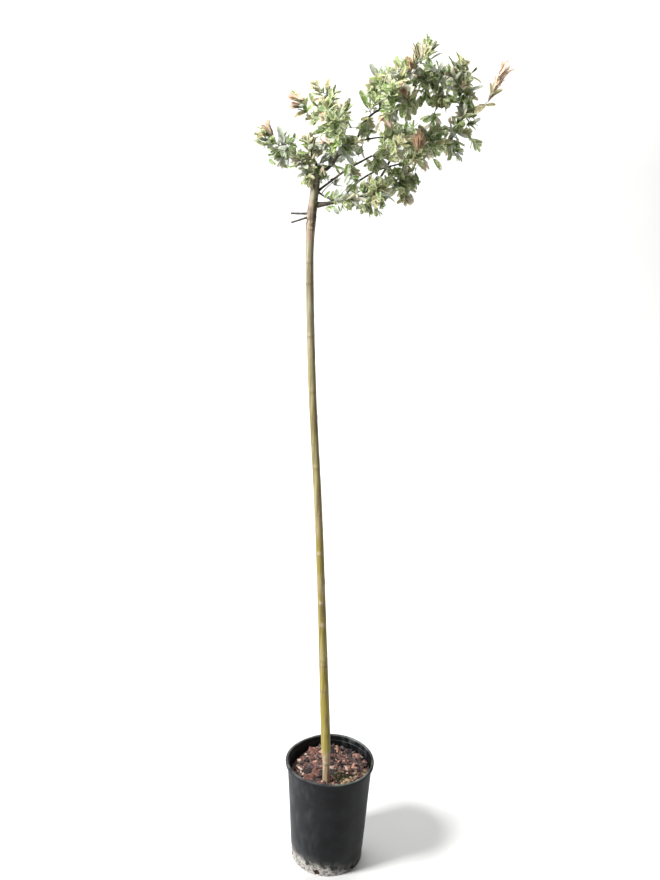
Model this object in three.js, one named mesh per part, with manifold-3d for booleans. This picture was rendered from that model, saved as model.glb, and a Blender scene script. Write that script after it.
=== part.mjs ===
// A young grafted willow grown as a standard: one bare stem in a deep nursery pot, topped by a
// small open crown that leans out to one side. Millimetres, +Z up. The pot stands on z = 0 with
// its axis on x = y = 0, and the crown leans towards +X. Each mass of leaves is one plain solid.
import * as THREE from 'three';
import { mergeVertices } from 'three/addons/utils/BufferGeometryUtils.js';
import Module from 'manifold-3d';

const wasm = await Module();
wasm.setup();

// ---------------------------------------------------------------- driving dimensions

// Free space kept between two solids that touch on the real plant.
const CLEARANCE = 0.35;

// Nursery pot: a tapering bucket with a rolled lip and drain holes in its bottom corner.
const POT_HEIGHT = 238;
const RIM_RADIUS = 95;
const BASE_RADIUS = 78;
const LIP_HEIGHT = 8;
const LIP_OVERHANG = 4.5;
const LIP_WIDTH = 6.5;
const WALL = 1.8;
const FLOOR = 2.4;
const DRAIN_HOLES = 6;
const DRAIN_WIDTH = 12;
const DRAIN_HEIGHT = 15;
const DRAIN_FIRST_ANGLE = 256;
const ROUND_STEPS = 36;
// Extra room for the filling, because the flats of the round wall lie inside its circle.
const FLATS_ROOM = 0.4;

// What fills the pot: compost up to this height, then a layer of bark chips.
const COMPOST_TOP = 200;
const BARK_DEPTH = 12;
const BARK_UNEVEN = 2;
const BARK_HEAP = 4;
const BARK_HEAP_ANGLE = -50;
const BARK_RINGS = 4;
const BARK_STEPS = 24;

// Stem: it leaves the compost in front of the pot's middle and leans back and to the left.
const STEM_LINE = [
  [-6, -51, 190], [-8, -48, 262], [-19, -40, 450], [-41, -25, 795],
  [-63, -13, 1075], [-75, -2, 1340], [-72, 0, 1390], [-64, 0, 1462],
];
const STEM_FOOT_RADIUS = 9.2;
const STEM_SLIM_RADIUS = 6.5;
const STEM_SLIM_HEIGHT = 950;
const STEM_STEPS = 26;
const STEM_SIDES = 10;
// Swellings of the stem: height of the middle, extra radius and half length.
const STEM_SWELLINGS = {
  root_flare: { middle: 200, extra: 3.5, reach: 10 },
  bud_ring: { middle: 262, extra: 1.2, reach: 6 },
  graft_union: { middle: 1385, extra: 1.2, reach: 35 },
};

// Boughs: the radius at the foot and at the tip, and a line that starts inside the limb that
// carries it, so a twig comes after its own bough.
const BOUGH_SIDES = 6;
const BOUGH_STEP_LENGTH = 18;
const BOUGHS = {
  lowest_bough: {
    radii: [4, 2.4],
    line: [[-67, 0, 1393], [-30, -8, 1403], [10, -14, 1408], [60, -18, 1425], [74, -17, 1431]],
  },
  middle_bough: {
    radii: [2.4, 1.7],
    line: [[-62, 0, 1421], [-15, -22, 1457], [31, -46, 1483]],
  },
  upper_bough: {
    radii: [3.6, 2.6],
    line: [[-64, 0, 1452], [-42, -8, 1462], [-32, -18, 1479], [-24, -42, 1496]],
  },
  left_bough: {
    radii: [2.4, 1.8],
    line: [[-66, 0, 1443], [-87, 1, 1460], [-112, 6, 1478]],
  },
  leader: {
    radii: [2.6, 1.8],
    line: [[-64, 0, 1452], [-68, -6, 1470], [-76, -16, 1484]],
  },
  curved_twig: {
    radii: [1.8, 1.4],
    line: [[-65, 0, 1420], [-45, -16, 1409], [-30, -34, 1406]],
  },
  back_bough: {
    radii: [3.2, 2],
    line: [[-67, 0, 1398], [-30, 30, 1402], [20, 52, 1414], [55, 78, 1455], [78, 96, 1500]],
  },
  lowest_side_twig: {
    radii: [2, 1.4],
    line: [[-10, -11, 1406], [8, -26, 1410], [22, -44, 1413]],
  },
  low_twig: {
    radii: [2, 1.5],
    line: [[-18, -10, 1405], [0, -9, 1432], [45, -11, 1461], [85, -18, 1473]],
  },
  arch_bough: {
    radii: [2.6, 1.8],
    line: [[-33, -17, 1478], [5, -2, 1514], [18, 8, 1546], [34, 8, 1560], [57, -1, 1572], [69, -6, 1585]],
  },
  centre_twig: {
    radii: [1.6, 1.3],
    line: [[-4, -6, 1505], [25, 6, 1514], [52, 19, 1519]],
  },
  upper_stub: {
    radii: [1.8, 1.5],
    line: [[-72, 0, 1381], [-90, -3, 1380], [-111, -5, 1380]],
  },
  lower_stub: {
    radii: [1.6, 1.3],
    line: [[-72, 0, 1377], [-88, -8, 1371], [-109, -14, 1364]],
  },
};

// Masses of leaves: centre, half width, half depth and half height, and the lean of the width
// in degrees, turned from +X up towards +Z.
const MASS_UNEVEN = 0.16;
const MASS_WAVES = 5;
const FINE_MASS_SIZE = 34;
const MASSES = {
  lower_heart: { at: [39, -58, 1417], half: [26, 26, 31] },
  lower_left: { at: [-13, -40, 1407], half: [27, 16, 14] },
  lower_right: { at: [93, -10, 1437], half: [26, 30, 33] },
  low_centre: { at: [105, -20, 1478], half: [27, 26, 20] },
  centre_low: { at: [47, -50, 1480], half: [24, 24, 19] },
  inner: { at: [-2, -30, 1455], half: [13, 14, 30] },
  inner_left: { at: [-43, -12, 1490], half: [17, 15, 14] },
  leader_low: { at: [-91, -8, 1468], half: [22, 17, 14] },
  leader_top: { at: [-77, -20, 1498], half: [18, 18, 23] },
  stem_side: { at: [-83, -10, 1446], half: [14, 15, 17] },
  left_middle: { at: [-130, 8, 1482], half: [30, 24, 19], lean: -22 },
  left_tip: { at: [-153, -8, 1513], half: [27, 26, 24] },
  middle_left: { at: [-23, -60, 1509], half: [36, 28, 22] },
  upper_left_heart: { at: [-44, -24, 1546], half: [35, 36, 28] },
  upper_left_tip: { at: [-90, -30, 1568], half: [30, 20, 16], lean: -27 },
  upper_left_crest: { at: [-60, 20, 1592], half: [21, 22, 23] },
  centre_left_top: { at: [38, 10, 1601], half: [25, 29, 32] },
  centre_top: { at: [78, -12, 1612], half: [29, 32, 38] },
  crest_shoot: { at: [122, 8, 1661], half: [19, 18, 34], lean: 8 },
  link: { at: [20, 18, 1534], half: [14, 15, 18] },
  pink_pair: { at: [57, -48, 1550], half: [15, 16, 20] },
  hanging: { at: [86, -40, 1570], half: [19, 23, 26] },
  centre: { at: [79, 30, 1512], half: [36, 34, 29] },
  centre_right: { at: [129, -18, 1510], half: [38, 28, 21] },
  droop_right: { at: [170, -18, 1502], half: [26, 18, 14], lean: -32 },
  ring_right: { at: [178, 2, 1534], half: [32, 28, 18] },
  ring_left: { at: [137, 24, 1547], half: [22, 20, 15] },
  right_side: { at: [195, 8, 1572], half: [17, 22, 31] },
  far_leaf: { at: [214, 10, 1514], half: [19, 12, 10], lean: -32 },
  arch_right: { at: [181, 22, 1621], half: [30, 30, 29] },
  arch_left: { at: [136, 12, 1622], half: [31, 30, 25] },
  arch_drop: { at: [148, 4, 1588], half: [21, 20, 19] },
  tip_shoot: { at: [238, 8, 1606], half: [52, 9, 9], lean: 58 },
  front_left: { at: [-37, -96, 1530], half: [29, 26, 28] },
  front_top: { at: [62, -72, 1579], half: [25, 26, 24] },
  front_centre: { at: [67, -86, 1492], half: [29, 26, 24] },
  back_left: { at: [-43, 40, 1550], half: [32, 38, 30] },
  back_top: { at: [56, 66, 1613], half: [33, 36, 31] },
  back_arch: { at: [187, 78, 1624], half: [30, 32, 28] },
  back_centre: { at: [90, 103, 1516], half: [38, 36, 29] },
  back_right: { at: [153, 78, 1515], half: [37, 32, 22] },
  back_low: { at: [38, 54, 1420], half: [26, 30, 28] },
};

const MATERIALS = {
  pot: { color: 0x33373a, roughness: 0.6, metalness: 0 },
  compost: { color: 0x3b2a22, roughness: 1, metalness: 0 },
  bark_mulch: { color: 0x6b4a40, roughness: 0.95, metalness: 0 },
  trunk: { color: 0xa69a5e, roughness: 0.8, metalness: 0 },
  bough: { color: 0x8a7458, roughness: 0.85, metalness: 0 },
  mass: { color: 0x7d9166, roughness: 0.85, metalness: 0 },
};

// ---------------------------------------------------------------- solids

function vector([x, y, z]) {
  return new THREE.Vector3(x, y, z);
}

// A repeatable stream of numbers from 0 to 1.
function seededRandom(seed) {
  let state = seed >>> 0;
  return () => {
    state = (state + 0x6d2b79f5) >>> 0;
    let mixed = Math.imul(state ^ (state >>> 15), 1 | state);
    mixed = (mixed + Math.imul(mixed ^ (mixed >>> 7), 61 | mixed)) ^ mixed;
    return ((mixed ^ (mixed >>> 14)) >>> 0) / 4294967296;
  };
}

// Turns a closed three.js geometry into a solid that can be joined and cut.
function solidOf(geometry) {
  const bare = geometry.clone();
  bare.deleteAttribute('normal');
  bare.deleteAttribute('uv');
  const merged = mergeVertices(bare, 1e-4);
  const vertProperties = new Float32Array(merged.attributes.position.array);
  const triVerts = new Uint32Array(merged.index.array);
  return new wasm.Manifold(new wasm.Mesh({ numProp: 3, vertProperties, triVerts }));
}

// A cut can leave crumbs beside the body; only the largest piece stays.
function largestPiece(solid) {
  const pieces = solid.decompose();
  pieces.sort((a, b) => b.volume() - a.volume());
  return pieces[0];
}

function meshOf(name, solid, finish) {
  const { vertProperties, triVerts } = solid.getMesh();
  const geometry = new THREE.BufferGeometry();
  geometry.setAttribute('position', new THREE.BufferAttribute(vertProperties, 3));
  geometry.setIndex(new THREE.BufferAttribute(triVerts, 1));
  geometry.computeVertexNormals();
  const mesh = new THREE.Mesh(geometry, new THREE.MeshStandardMaterial(finish));
  mesh.name = name;
  return mesh;
}

// A profile of [radius, height] points turned round the pot's axis.
function turned(profile, steps) {
  const points = profile.map(([radius, height]) => new THREE.Vector2(radius, height));
  const geometry = new THREE.LatheGeometry(points, steps);
  geometry.rotateX(Math.PI / 2);
  return solidOf(geometry);
}

// A closed tube along a smooth line. radiusAt takes a point of the line and its share of the
// length, 0 at the foot and 1 at the tip.
function tube(line, radiusAt, sides, steps) {
  const frames = line.computeFrenetFrames(steps, false);
  const positions = [];
  for (let i = 0; i <= steps; i++) {
    const centre = line.getPointAt(i / steps);
    const radius = radiusAt(centre, i / steps);
    for (let k = 0; k < sides; k++) {
      const angle = (2 * Math.PI * k) / sides;
      const point = centre.clone()
        .addScaledVector(frames.normals[i], radius * Math.cos(angle))
        .addScaledVector(frames.binormals[i], radius * Math.sin(angle));
      positions.push(point.x, point.y, point.z);
    }
  }
  const faces = [];
  for (let i = 0; i < steps; i++) {
    for (let k = 0; k < sides; k++) {
      const here = i * sides + k;
      const beside = i * sides + ((k + 1) % sides);
      faces.push(here, beside, beside + sides, here, beside + sides, here + sides);
    }
  }
  const tip = steps * sides;
  for (let k = 1; k < sides - 1; k++) {
    faces.push(0, k + 1, k, tip, tip + k, tip + k + 1);
  }
  const geometry = new THREE.BufferGeometry();
  geometry.setAttribute('position', new THREE.Float32BufferAttribute(positions, 3));
  geometry.setIndex(faces);
  return solidOf(geometry);
}

// ---------------------------------------------------------------- pot and its filling

// Radius of the pot's outer wall at a height.
function wallRadius(height) {
  const share = height / (POT_HEIGHT - LIP_HEIGHT);
  return THREE.MathUtils.lerp(BASE_RADIUS, RIM_RADIUS - LIP_OVERHANG, share);
}

function drainHole(index) {
  const depth = 8 * WALL;
  const hole = new THREE.BoxGeometry(depth, DRAIN_WIDTH, 2 * DRAIN_HEIGHT);
  hole.translate(BASE_RADIUS, 0, 0);
  hole.rotateZ(THREE.MathUtils.degToRad(DRAIN_FIRST_ANGLE + (360 * index) / DRAIN_HOLES));
  return solidOf(hole);
}

function potSolid() {
  const lipFoot = POT_HEIGHT - LIP_HEIGHT;
  const lipInner = RIM_RADIUS - LIP_WIDTH;
  const cornerRound = 2;
  const profile = [
    [0, 0],
    [BASE_RADIUS - cornerRound, 0],
    [BASE_RADIUS, cornerRound],
    [wallRadius(lipFoot), lipFoot],
    [RIM_RADIUS - 0.5, lipFoot + 0.5],
    [RIM_RADIUS, POT_HEIGHT - 3],
    [RIM_RADIUS - 2, POT_HEIGHT],
    [lipInner + 1.5, POT_HEIGHT],
    [lipInner, POT_HEIGHT - 1.5],
    [wallRadius(lipFoot) - WALL, lipFoot],
    [BASE_RADIUS - WALL, FLOOR],
    [0, FLOOR],
  ];
  let pot = turned(profile, ROUND_STEPS);
  for (let i = 0; i < DRAIN_HOLES; i++) {
    pot = pot.subtract(drainHole(i));
  }
  return pot;
}

// Radius of the filling at a height, just clear of the inner wall.
function fillingRadius(height) {
  return wallRadius(height) - WALL - CLEARANCE - FLATS_ROOM;
}

function compostSolid() {
  const bottom = FLOOR + CLEARANCE;
  const profile = [
    [0, bottom],
    [fillingRadius(bottom), bottom],
    [fillingRadius(COMPOST_TOP), COMPOST_TOP],
    [0, COMPOST_TOP],
  ];
  return turned(profile, ROUND_STEPS);
}

// The layer of bark chips: an uneven top that is heaped at the front right, over a flat foot.
function barkSolid(stem) {
  const random = seededRandom(7);
  const bottom = COMPOST_TOP + CLEARANCE;
  const heapAngle = THREE.MathUtils.degToRad(BARK_HEAP_ANGLE);
  const rings = [];
  for (let ring = 1; ring <= BARK_RINGS; ring++) {
    const share = ring / BARK_RINGS;
    for (let k = 0; k < BARK_STEPS; k++) {
      const angle = (2 * Math.PI * k) / BARK_STEPS;
      const heap = BARK_HEAP * share * Math.max(0, Math.cos(angle - heapAngle));
      const height = COMPOST_TOP + BARK_DEPTH + heap + BARK_UNEVEN * (random() - 0.5);
      const radius = fillingRadius(COMPOST_TOP) * share;
      rings.push([radius * Math.cos(angle), radius * Math.sin(angle), height]);
    }
  }
  const outer = rings.slice(-BARK_STEPS);
  const points = [[0, 0, COMPOST_TOP + BARK_DEPTH], ...rings];
  const foot = points.length;
  points.push(...outer.map(([x, y]) => [x, y, bottom]), [0, 0, bottom]);
  const footMiddle = points.length - 1;
  const faces = [];
  for (let k = 0; k < BARK_STEPS; k++) {
    const next = (k + 1) % BARK_STEPS;
    faces.push(0, 1 + k, 1 + next);
    for (let ring = 1; ring <= BARK_RINGS; ring++) {
      const inner = 1 + (ring - 1) * BARK_STEPS;
      const beyond = ring < BARK_RINGS ? inner + BARK_STEPS : foot;
      faces.push(inner + k, beyond + k, beyond + next, inner + k, beyond + next, inner + next);
    }
    faces.push(footMiddle, foot + next, foot + k);
  }
  const geometry = new THREE.BufferGeometry();
  geometry.setAttribute('position', new THREE.Float32BufferAttribute(points.flat(), 3));
  geometry.setIndex(faces);
  return solidOf(geometry).subtract(stem);
}

// ---------------------------------------------------------------- stem and boughs

const stemCurve = new THREE.CatmullRomCurve3(STEM_LINE.map(vector), false, 'centripetal');

function stemRadius(height) {
  const share = THREE.MathUtils.clamp((height - COMPOST_TOP) / (STEM_SLIM_HEIGHT - COMPOST_TOP), 0, 1);
  let radius = THREE.MathUtils.lerp(STEM_FOOT_RADIUS, STEM_SLIM_RADIUS, Math.sqrt(share));
  for (const { middle, extra, reach } of Object.values(STEM_SWELLINGS)) {
    radius += extra * Math.exp(-(((height - middle) / reach) ** 2));
  }
  return radius;
}

// The stem, grown all round by some clearance when it is used to cut its neighbours.
function stemSolid(grow) {
  const whole = tube(stemCurve, (point) => stemRadius(point.z) + grow, STEM_SIDES, STEM_STEPS);
  if (grow > 0) {
    return whole;
  }
  const [footX, footY] = STEM_LINE[0];
  const blockSize = 80;
  const below = new THREE.BoxGeometry(blockSize, blockSize, blockSize);
  below.translate(footX, footY, COMPOST_TOP + CLEARANCE - blockSize / 2);
  return whole.subtract(solidOf(below));
}

function boughSolid({ line, radii }, grow) {
  const curve = new THREE.CatmullRomCurve3(line.map(vector), false, 'centripetal');
  const steps = Math.max(2, Math.round(curve.getLength() / BOUGH_STEP_LENGTH));
  const radiusAt = (point, share) => THREE.MathUtils.lerp(radii[0], radii[1], share) + grow;
  return tube(curve, radiusAt, BOUGH_SIDES, steps);
}

// ---------------------------------------------------------------- masses of leaves

// Bumps and hollows of one mass: a few soft waves that run across it in random directions.
function unevenness(seed) {
  const random = seededRandom(seed);
  const waves = [];
  for (let i = 0; i < MASS_WAVES; i++) {
    const direction = new THREE.Vector3(random() - 0.5, random() - 0.5, random() - 0.5).normalize();
    waves.push({ direction, pace: 2 + 3 * random(), start: 2 * Math.PI * random() });
  }
  return (point) => {
    let sum = 0;
    for (const { direction, pace, start } of waves) {
      sum += Math.sin(pace * direction.dot(point) + start);
    }
    return 1 + (MASS_UNEVEN * sum) / Math.sqrt(MASS_WAVES);
  };
}

function massSolid({ at, half, lean = 0 }, seed, grow) {
  const detail = Math.max(...half) > FINE_MASS_SIZE ? 2 : 1;
  const ball = new THREE.IcosahedronGeometry(1, detail);
  const uneven = unevenness(seed);
  const centre = vector(at);
  const turn = new THREE.Matrix4().makeRotationY(-THREE.MathUtils.degToRad(lean));
  const place = ball.attributes.position;
  const point = new THREE.Vector3();
  for (let i = 0; i < place.count; i++) {
    point.fromBufferAttribute(place, i);
    point.multiplyScalar(uneven(point)).multiply(vector(half)).applyMatrix4(turn);
    point.addScaledVector(point.clone().normalize(), grow).add(centre);
    place.setXYZ(i, point.x, point.y, point.z);
  }
  return solidOf(ball);
}

// ---------------------------------------------------------------- the plant

const plant = new THREE.Group();

const stemCutter = stemSolid(CLEARANCE);
plant.add(meshOf('pot', potSolid(), MATERIALS.pot));
plant.add(meshOf('compost', compostSolid(), MATERIALS.compost));
plant.add(meshOf('bark_mulch', barkSolid(stemCutter), MATERIALS.bark_mulch));
plant.add(meshOf('trunk', stemSolid(0), MATERIALS.trunk));

// Each bough starts inside the limb that it grows from and is cut back to that limb's surface.
const limbCutters = { trunk: stemCutter };
for (const [name, bough] of Object.entries(BOUGHS)) {
  let solid = boughSolid(bough, 0);
  for (const cutter of Object.values(limbCutters)) {
    solid = solid.subtract(cutter);
  }
  plant.add(meshOf(name, largestPiece(solid), MATERIALS.bough));
  limbCutters[name] = boughSolid(bough, CLEARANCE);
}

// Each mass is cut round the limbs, so a tip ends in a pocket, and round the masses before it.
const massCutters = Object.values(limbCutters);
Object.entries(MASSES).forEach(([name, mass], seed) => {
  let solid = massSolid(mass, seed + 1, 0);
  for (const cutter of massCutters) {
    solid = solid.subtract(cutter);
  }
  plant.add(meshOf(`mass_${name}`, largestPiece(solid), MATERIALS.mass));
  massCutters.push(massSolid(mass, seed + 1, CLEARANCE));
});

export default plant;
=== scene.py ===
# %% [markdown]
# # A young standard willow in its nursery pot
#
# The real plant is a shrubby, dappled willow that was grafted on top of a tall bare rod and grown
# on in a deep black plastic pot. From the ground up there is the pot, compost with a layer of bark
# chips on top, the smooth olive rod, the swollen graft with two dead stubs, and a small open crown
# of thin boughs, twigs and narrow leaves with cream and peach-pink tips.
#
# The sizes come from the frame: each solid of the construction model is already in the scene at
# its real place, in metres, with Z up. Every piece below is measured from those solids.

# %% Load the frame
import math
import random

import bpy
import numpy as np
from mathutils import Matrix, Vector, noise
from mathutils.bvhtree import BVHTree


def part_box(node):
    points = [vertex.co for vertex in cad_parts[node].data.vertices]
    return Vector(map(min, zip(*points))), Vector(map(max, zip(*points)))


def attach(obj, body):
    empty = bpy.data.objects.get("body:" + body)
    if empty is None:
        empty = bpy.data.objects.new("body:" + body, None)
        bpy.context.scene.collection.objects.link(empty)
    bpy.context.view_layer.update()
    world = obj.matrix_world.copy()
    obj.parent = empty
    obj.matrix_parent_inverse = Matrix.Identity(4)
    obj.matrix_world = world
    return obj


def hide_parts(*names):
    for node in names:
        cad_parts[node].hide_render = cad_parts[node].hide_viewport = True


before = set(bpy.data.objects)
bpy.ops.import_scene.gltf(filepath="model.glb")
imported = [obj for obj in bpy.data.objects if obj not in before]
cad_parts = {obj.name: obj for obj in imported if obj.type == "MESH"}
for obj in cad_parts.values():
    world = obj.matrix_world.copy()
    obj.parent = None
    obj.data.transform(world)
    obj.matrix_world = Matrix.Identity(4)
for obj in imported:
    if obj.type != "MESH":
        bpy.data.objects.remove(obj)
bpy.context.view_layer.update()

MM = 0.001

# %% [markdown]
# ## The camera
#
# The plant is seen from a little above, by someone standing 1.7 m away with the eye at 1.4 m, who
# looks down by about 15 degrees and holds the camera a little tilted. The lens follows from how
# wide the pot's rim appears beside its base.

# %% Camera
EYE = Vector((-0.001, -1.698, 1.417))
LOOK_DOWN = math.radians(15.3)
LOOK_ASIDE = math.radians(-0.8)
TILT = math.radians(2.04)
LENS_MM = 36.82


def camera_axes():
    """Right, up and back of the camera, from its three angles."""
    ahead = Vector((
        math.sin(LOOK_ASIDE) * math.cos(LOOK_DOWN),
        math.cos(LOOK_ASIDE) * math.cos(LOOK_DOWN),
        -math.sin(LOOK_DOWN),
    ))
    level_right = ahead.cross(Vector((0, 0, 1))).normalized()
    level_up = level_right.cross(ahead)
    right = level_right * math.cos(TILT) + level_up * math.sin(TILT)
    up = level_up * math.cos(TILT) - level_right * math.sin(TILT)
    return right, up, -ahead


bpy.ops.object.camera_add(location=EYE)
camera = bpy.context.object
camera.name = "portrait_camera"
camera.rotation_mode = "QUATERNION"
camera.rotation_quaternion = Matrix(camera_axes()).transposed().to_quaternion()
camera.data.sensor_width = 36
camera.data.lens = LENS_MM
bpy.context.scene.camera = camera
print("lens, mm:", camera.data.lens)

# %% [markdown]
# ## Working by hand in code
#
# An operator acts on whatever is selected, so each job starts with nothing selected. Faces and
# vertices are then picked by their place, shaped, and the finished piece is given its materials
# and the body it rides on.


# %% Helpers for modelling
def clear_selection():
    """Leaves edit mode and selects nothing."""
    if bpy.context.object and bpy.context.object.mode != "OBJECT":
        bpy.ops.object.mode_set(mode="OBJECT")
    bpy.ops.object.select_all(action="DESELECT")


def make_active(piece):
    clear_selection()
    piece.select_set(True)
    bpy.context.view_layer.objects.active = piece


def edit_all():
    """Enters edit mode with everything selected."""
    bpy.ops.object.mode_set(mode="EDIT")
    bpy.ops.mesh.select_all(action="SELECT")


def pick_vertices(piece, wanted):
    """In edit mode, selects just the vertices whose place passes the test."""
    bpy.ops.object.mode_set(mode="OBJECT")
    picked = [wanted(v.co) for v in piece.data.vertices]
    piece.data.polygons.foreach_set("select", [False] * len(piece.data.polygons))
    piece.data.edges.foreach_set("select", [False] * len(piece.data.edges))
    piece.data.vertices.foreach_set("select", picked)
    bpy.ops.object.mode_set(mode="EDIT")
    bpy.ops.mesh.select_mode(type="VERT")


def add_modifier(piece, kind, **settings):
    """Adds a modifier, sets it and applies it to the mesh."""
    make_active(piece)
    modifier = piece.modifiers.new(kind.title(), kind)
    for name, value in settings.items():
        setattr(modifier, name, value)
    bpy.ops.object.modifier_apply(modifier=modifier.name)


def close_up(piece):
    """Merges doubles and turns every face outwards."""
    make_active(piece)
    edit_all()
    bpy.ops.mesh.remove_doubles(threshold=0.00001)
    bpy.ops.mesh.normals_make_consistent(inside=False)
    bpy.ops.object.mode_set(mode="OBJECT")


def vertex_array(piece):
    places = np.empty(len(piece.data.vertices) * 3)
    piece.data.vertices.foreach_get("co", places)
    return places.reshape(-1, 3)


def put_vertices(piece, places):
    piece.data.vertices.foreach_set("co", np.asarray(places).ravel())
    piece.data.update()


def store_values(piece, name, values):
    """Keeps one number for each vertex as an attribute of the mesh, for the material."""
    attribute = piece.data.attributes.new(name, "FLOAT", "POINT")
    attribute.data.foreach_set("value", values)


def take_shape(piece):
    """Points and faces of a modelled shape, which then leaves the scene."""
    shape = vertex_array(piece), np.array([p.vertices[:] for p in piece.data.polygons])
    bpy.data.objects.remove(piece)
    return shape


def join_arrays(parts):
    """Many tables of points and faces as one."""
    all_points, all_faces, start = [], [], 0
    for points, faces in parts:
        all_points.append(points)
        all_faces.append(faces + start)
        start += len(points)
    return np.concatenate(all_points), np.concatenate(all_faces)


def mesh_from_arrays(name, vertices, faces, face_materials=None):
    """One object from a table of points and a table of faces that all have the same corners."""
    mesh = bpy.data.meshes.new(name)
    corners = faces.shape[1]
    mesh.vertices.add(len(vertices))
    mesh.vertices.foreach_set("co", vertices.ravel())
    mesh.loops.add(faces.size)
    mesh.loops.foreach_set("vertex_index", faces.ravel())
    mesh.polygons.add(len(faces))
    mesh.polygons.foreach_set("loop_start", np.arange(0, faces.size, corners))
    if face_materials is not None:
        mesh.polygons.foreach_set("material_index", face_materials)
    mesh.update(calc_edges=True)
    mesh.validate()
    piece = bpy.data.objects.new(name, mesh)
    bpy.context.collection.objects.link(piece)
    return piece


def finish_piece(piece, name, materials, stands_for=()):
    """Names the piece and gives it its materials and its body."""
    piece.name = name
    piece.data.name = name
    piece.data.materials.clear()
    for material in materials:
        piece.data.materials.append(material)
    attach(piece, "root")
    if stands_for:
        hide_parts(*stands_for)
    triangles = sum(len(p.vertices) - 2 for p in piece.data.polygons)
    print(f"{name}: {triangles} triangles")
    return piece


# %% [markdown]
# ## Materials in general
#
# Each material is a Principled shader with its pattern in Object coordinates, which are metres on
# the real plant, so a noise of scale 100 has features about 10 mm wide. Colours are written as
# sRGB hex values, as a colour picker shows them, and turned to the linear values of the shader.


# %% Helpers for materials
def linear(hex_colour):
    """The shader's linear colour for an sRGB hex value."""
    channels = [int(hex_colour[i:i + 2], 16) / 255 for i in (1, 3, 5)]
    return (*[c / 12.92 if c <= 0.04045 else ((c + 0.055) / 1.055) ** 2.4 for c in channels], 1)


def per_metre(feature_mm):
    """The scale at which a noise or cell pattern has features of this size."""
    return 1 / (feature_mm * MM)


def add_node(tree, kind, inputs=None, **settings):
    """Adds a node, sets its options, and fills its inputs with values or links."""
    node = tree.nodes.new(kind)
    for name, value in settings.items():
        setattr(node, name, value)
    for key, value in (inputs or {}).items():
        if isinstance(value, bpy.types.NodeSocket):
            tree.links.new(value, node.inputs[key])
        else:
            node.inputs[key].default_value = value
    return node


def new_material(name, roughness, ior=1.5):
    """An empty material with its shader, and the socket of the object's own coordinates."""
    material = bpy.data.materials.new(name)
    material.use_nodes = True
    tree = material.node_tree
    shader = tree.nodes["Principled BSDF"]
    shader.inputs["Roughness"].default_value = roughness
    shader.inputs["IOR"].default_value = ior
    place = add_node(tree, "ShaderNodeTexCoord").outputs["Object"]
    return material, tree, shader, place


def times(tree, first, second):
    return add_node(tree, "ShaderNodeMath", {0: first, 1: second}, operation="MULTIPLY").outputs[0]


# In a colour mix, these are the places of the two colours and of the result among the sockets.
MIX_A, MIX_B, MIX_RESULT = 6, 7, 2


def coat(tree, under, share, over, strength=1.0):
    """The colour under with the colour over laid on it by share, and at most by strength."""
    if strength != 1:
        share = times(tree, share, strength)
    if isinstance(under, str):
        under = linear(under)
    mix = add_node(tree, "ShaderNodeMix", {0: share, MIX_A: under, MIX_B: linear(over)},
                   data_type="RGBA")
    return mix.outputs[MIX_RESULT]


def mottle(tree, place, feature_mm, low=0.4, high=0.6, detail=3.0, stretch=(1, 1, 1)):
    """A soft noise from 0 to 1, sharper where low and high are close together."""
    moved = add_node(tree, "ShaderNodeMapping", {"Vector": place, "Scale": stretch})
    cloud = add_node(tree, "ShaderNodeTexNoise", {
        "Vector": moved.outputs["Vector"], "Scale": per_metre(feature_mm), "Detail": detail,
    })
    spread = add_node(tree, "ShaderNodeMapRange", {
        "Value": cloud.outputs["Fac"], "From Min": low, "From Max": high,
    })
    return spread.outputs["Result"]


def ramp_along(tree, value, start, end):
    """Runs from 0 to 1 as value goes from start to end, and stays there."""
    ramp = add_node(tree, "ShaderNodeMapRange", {
        "Value": value, "From Min": start, "From Max": end,
    }, interpolation_type="SMOOTHSTEP")
    return ramp.outputs["Result"]


def times_and_add(tree, first, second, added):
    return add_node(tree, "ShaderNodeMath", {0: first, 1: second, 2: added},
                    operation="MULTIPLY_ADD").outputs[0]


def mesh_value(tree, name):
    """A number that the mesh keeps for each vertex."""
    return add_node(tree, "ShaderNodeAttribute", attribute_name=name).outputs["Fac"]


def cover(tree, shader, colour, height=None, depth_mm=0.0):
    """Gives the shader its colour, and a bump as deep as depth_mm where height is 1."""
    tree.links.new(colour, shader.inputs["Base Color"])
    if height:
        bump = add_node(tree, "ShaderNodeBump", {"Height": height, "Distance": depth_mm * MM})
        tree.links.new(bump.outputs["Normal"], shader.inputs["Normal"])


# %% [markdown]
# ## The pot
#
# A deep nursery pot is a thin bucket of polyethylene, blown or injection moulded, that tapers so
# that pots stack. Its rim is rolled outwards to an upside-down U for stiffness, a small step low
# on the wall keeps stacked pots from jamming, and drain holes are punched where the wall meets
# the floor. It is made here as a potter would: one ring of vertices is extruded and scaled up the
# outer wall, over the lip, and down the inner wall to the floor.

# %% Pot measures
pot_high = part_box("pot")[1]
POT_HEIGHT = pot_high.z
RIM_RADIUS = pot_high.x
FOOT_RADIUS = RIM_RADIUS - 17 * MM
LIP_FOOT = POT_HEIGHT - 8.5 * MM
WALL_TOP_RADIUS = RIM_RADIUS - 4.5 * MM
WALL = 1.7 * MM
POT_SIDES = 120


def wall_radius(height):
    return FOOT_RADIUS + (WALL_TOP_RADIUS - FOOT_RADIUS) * height / LIP_FOOT


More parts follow.
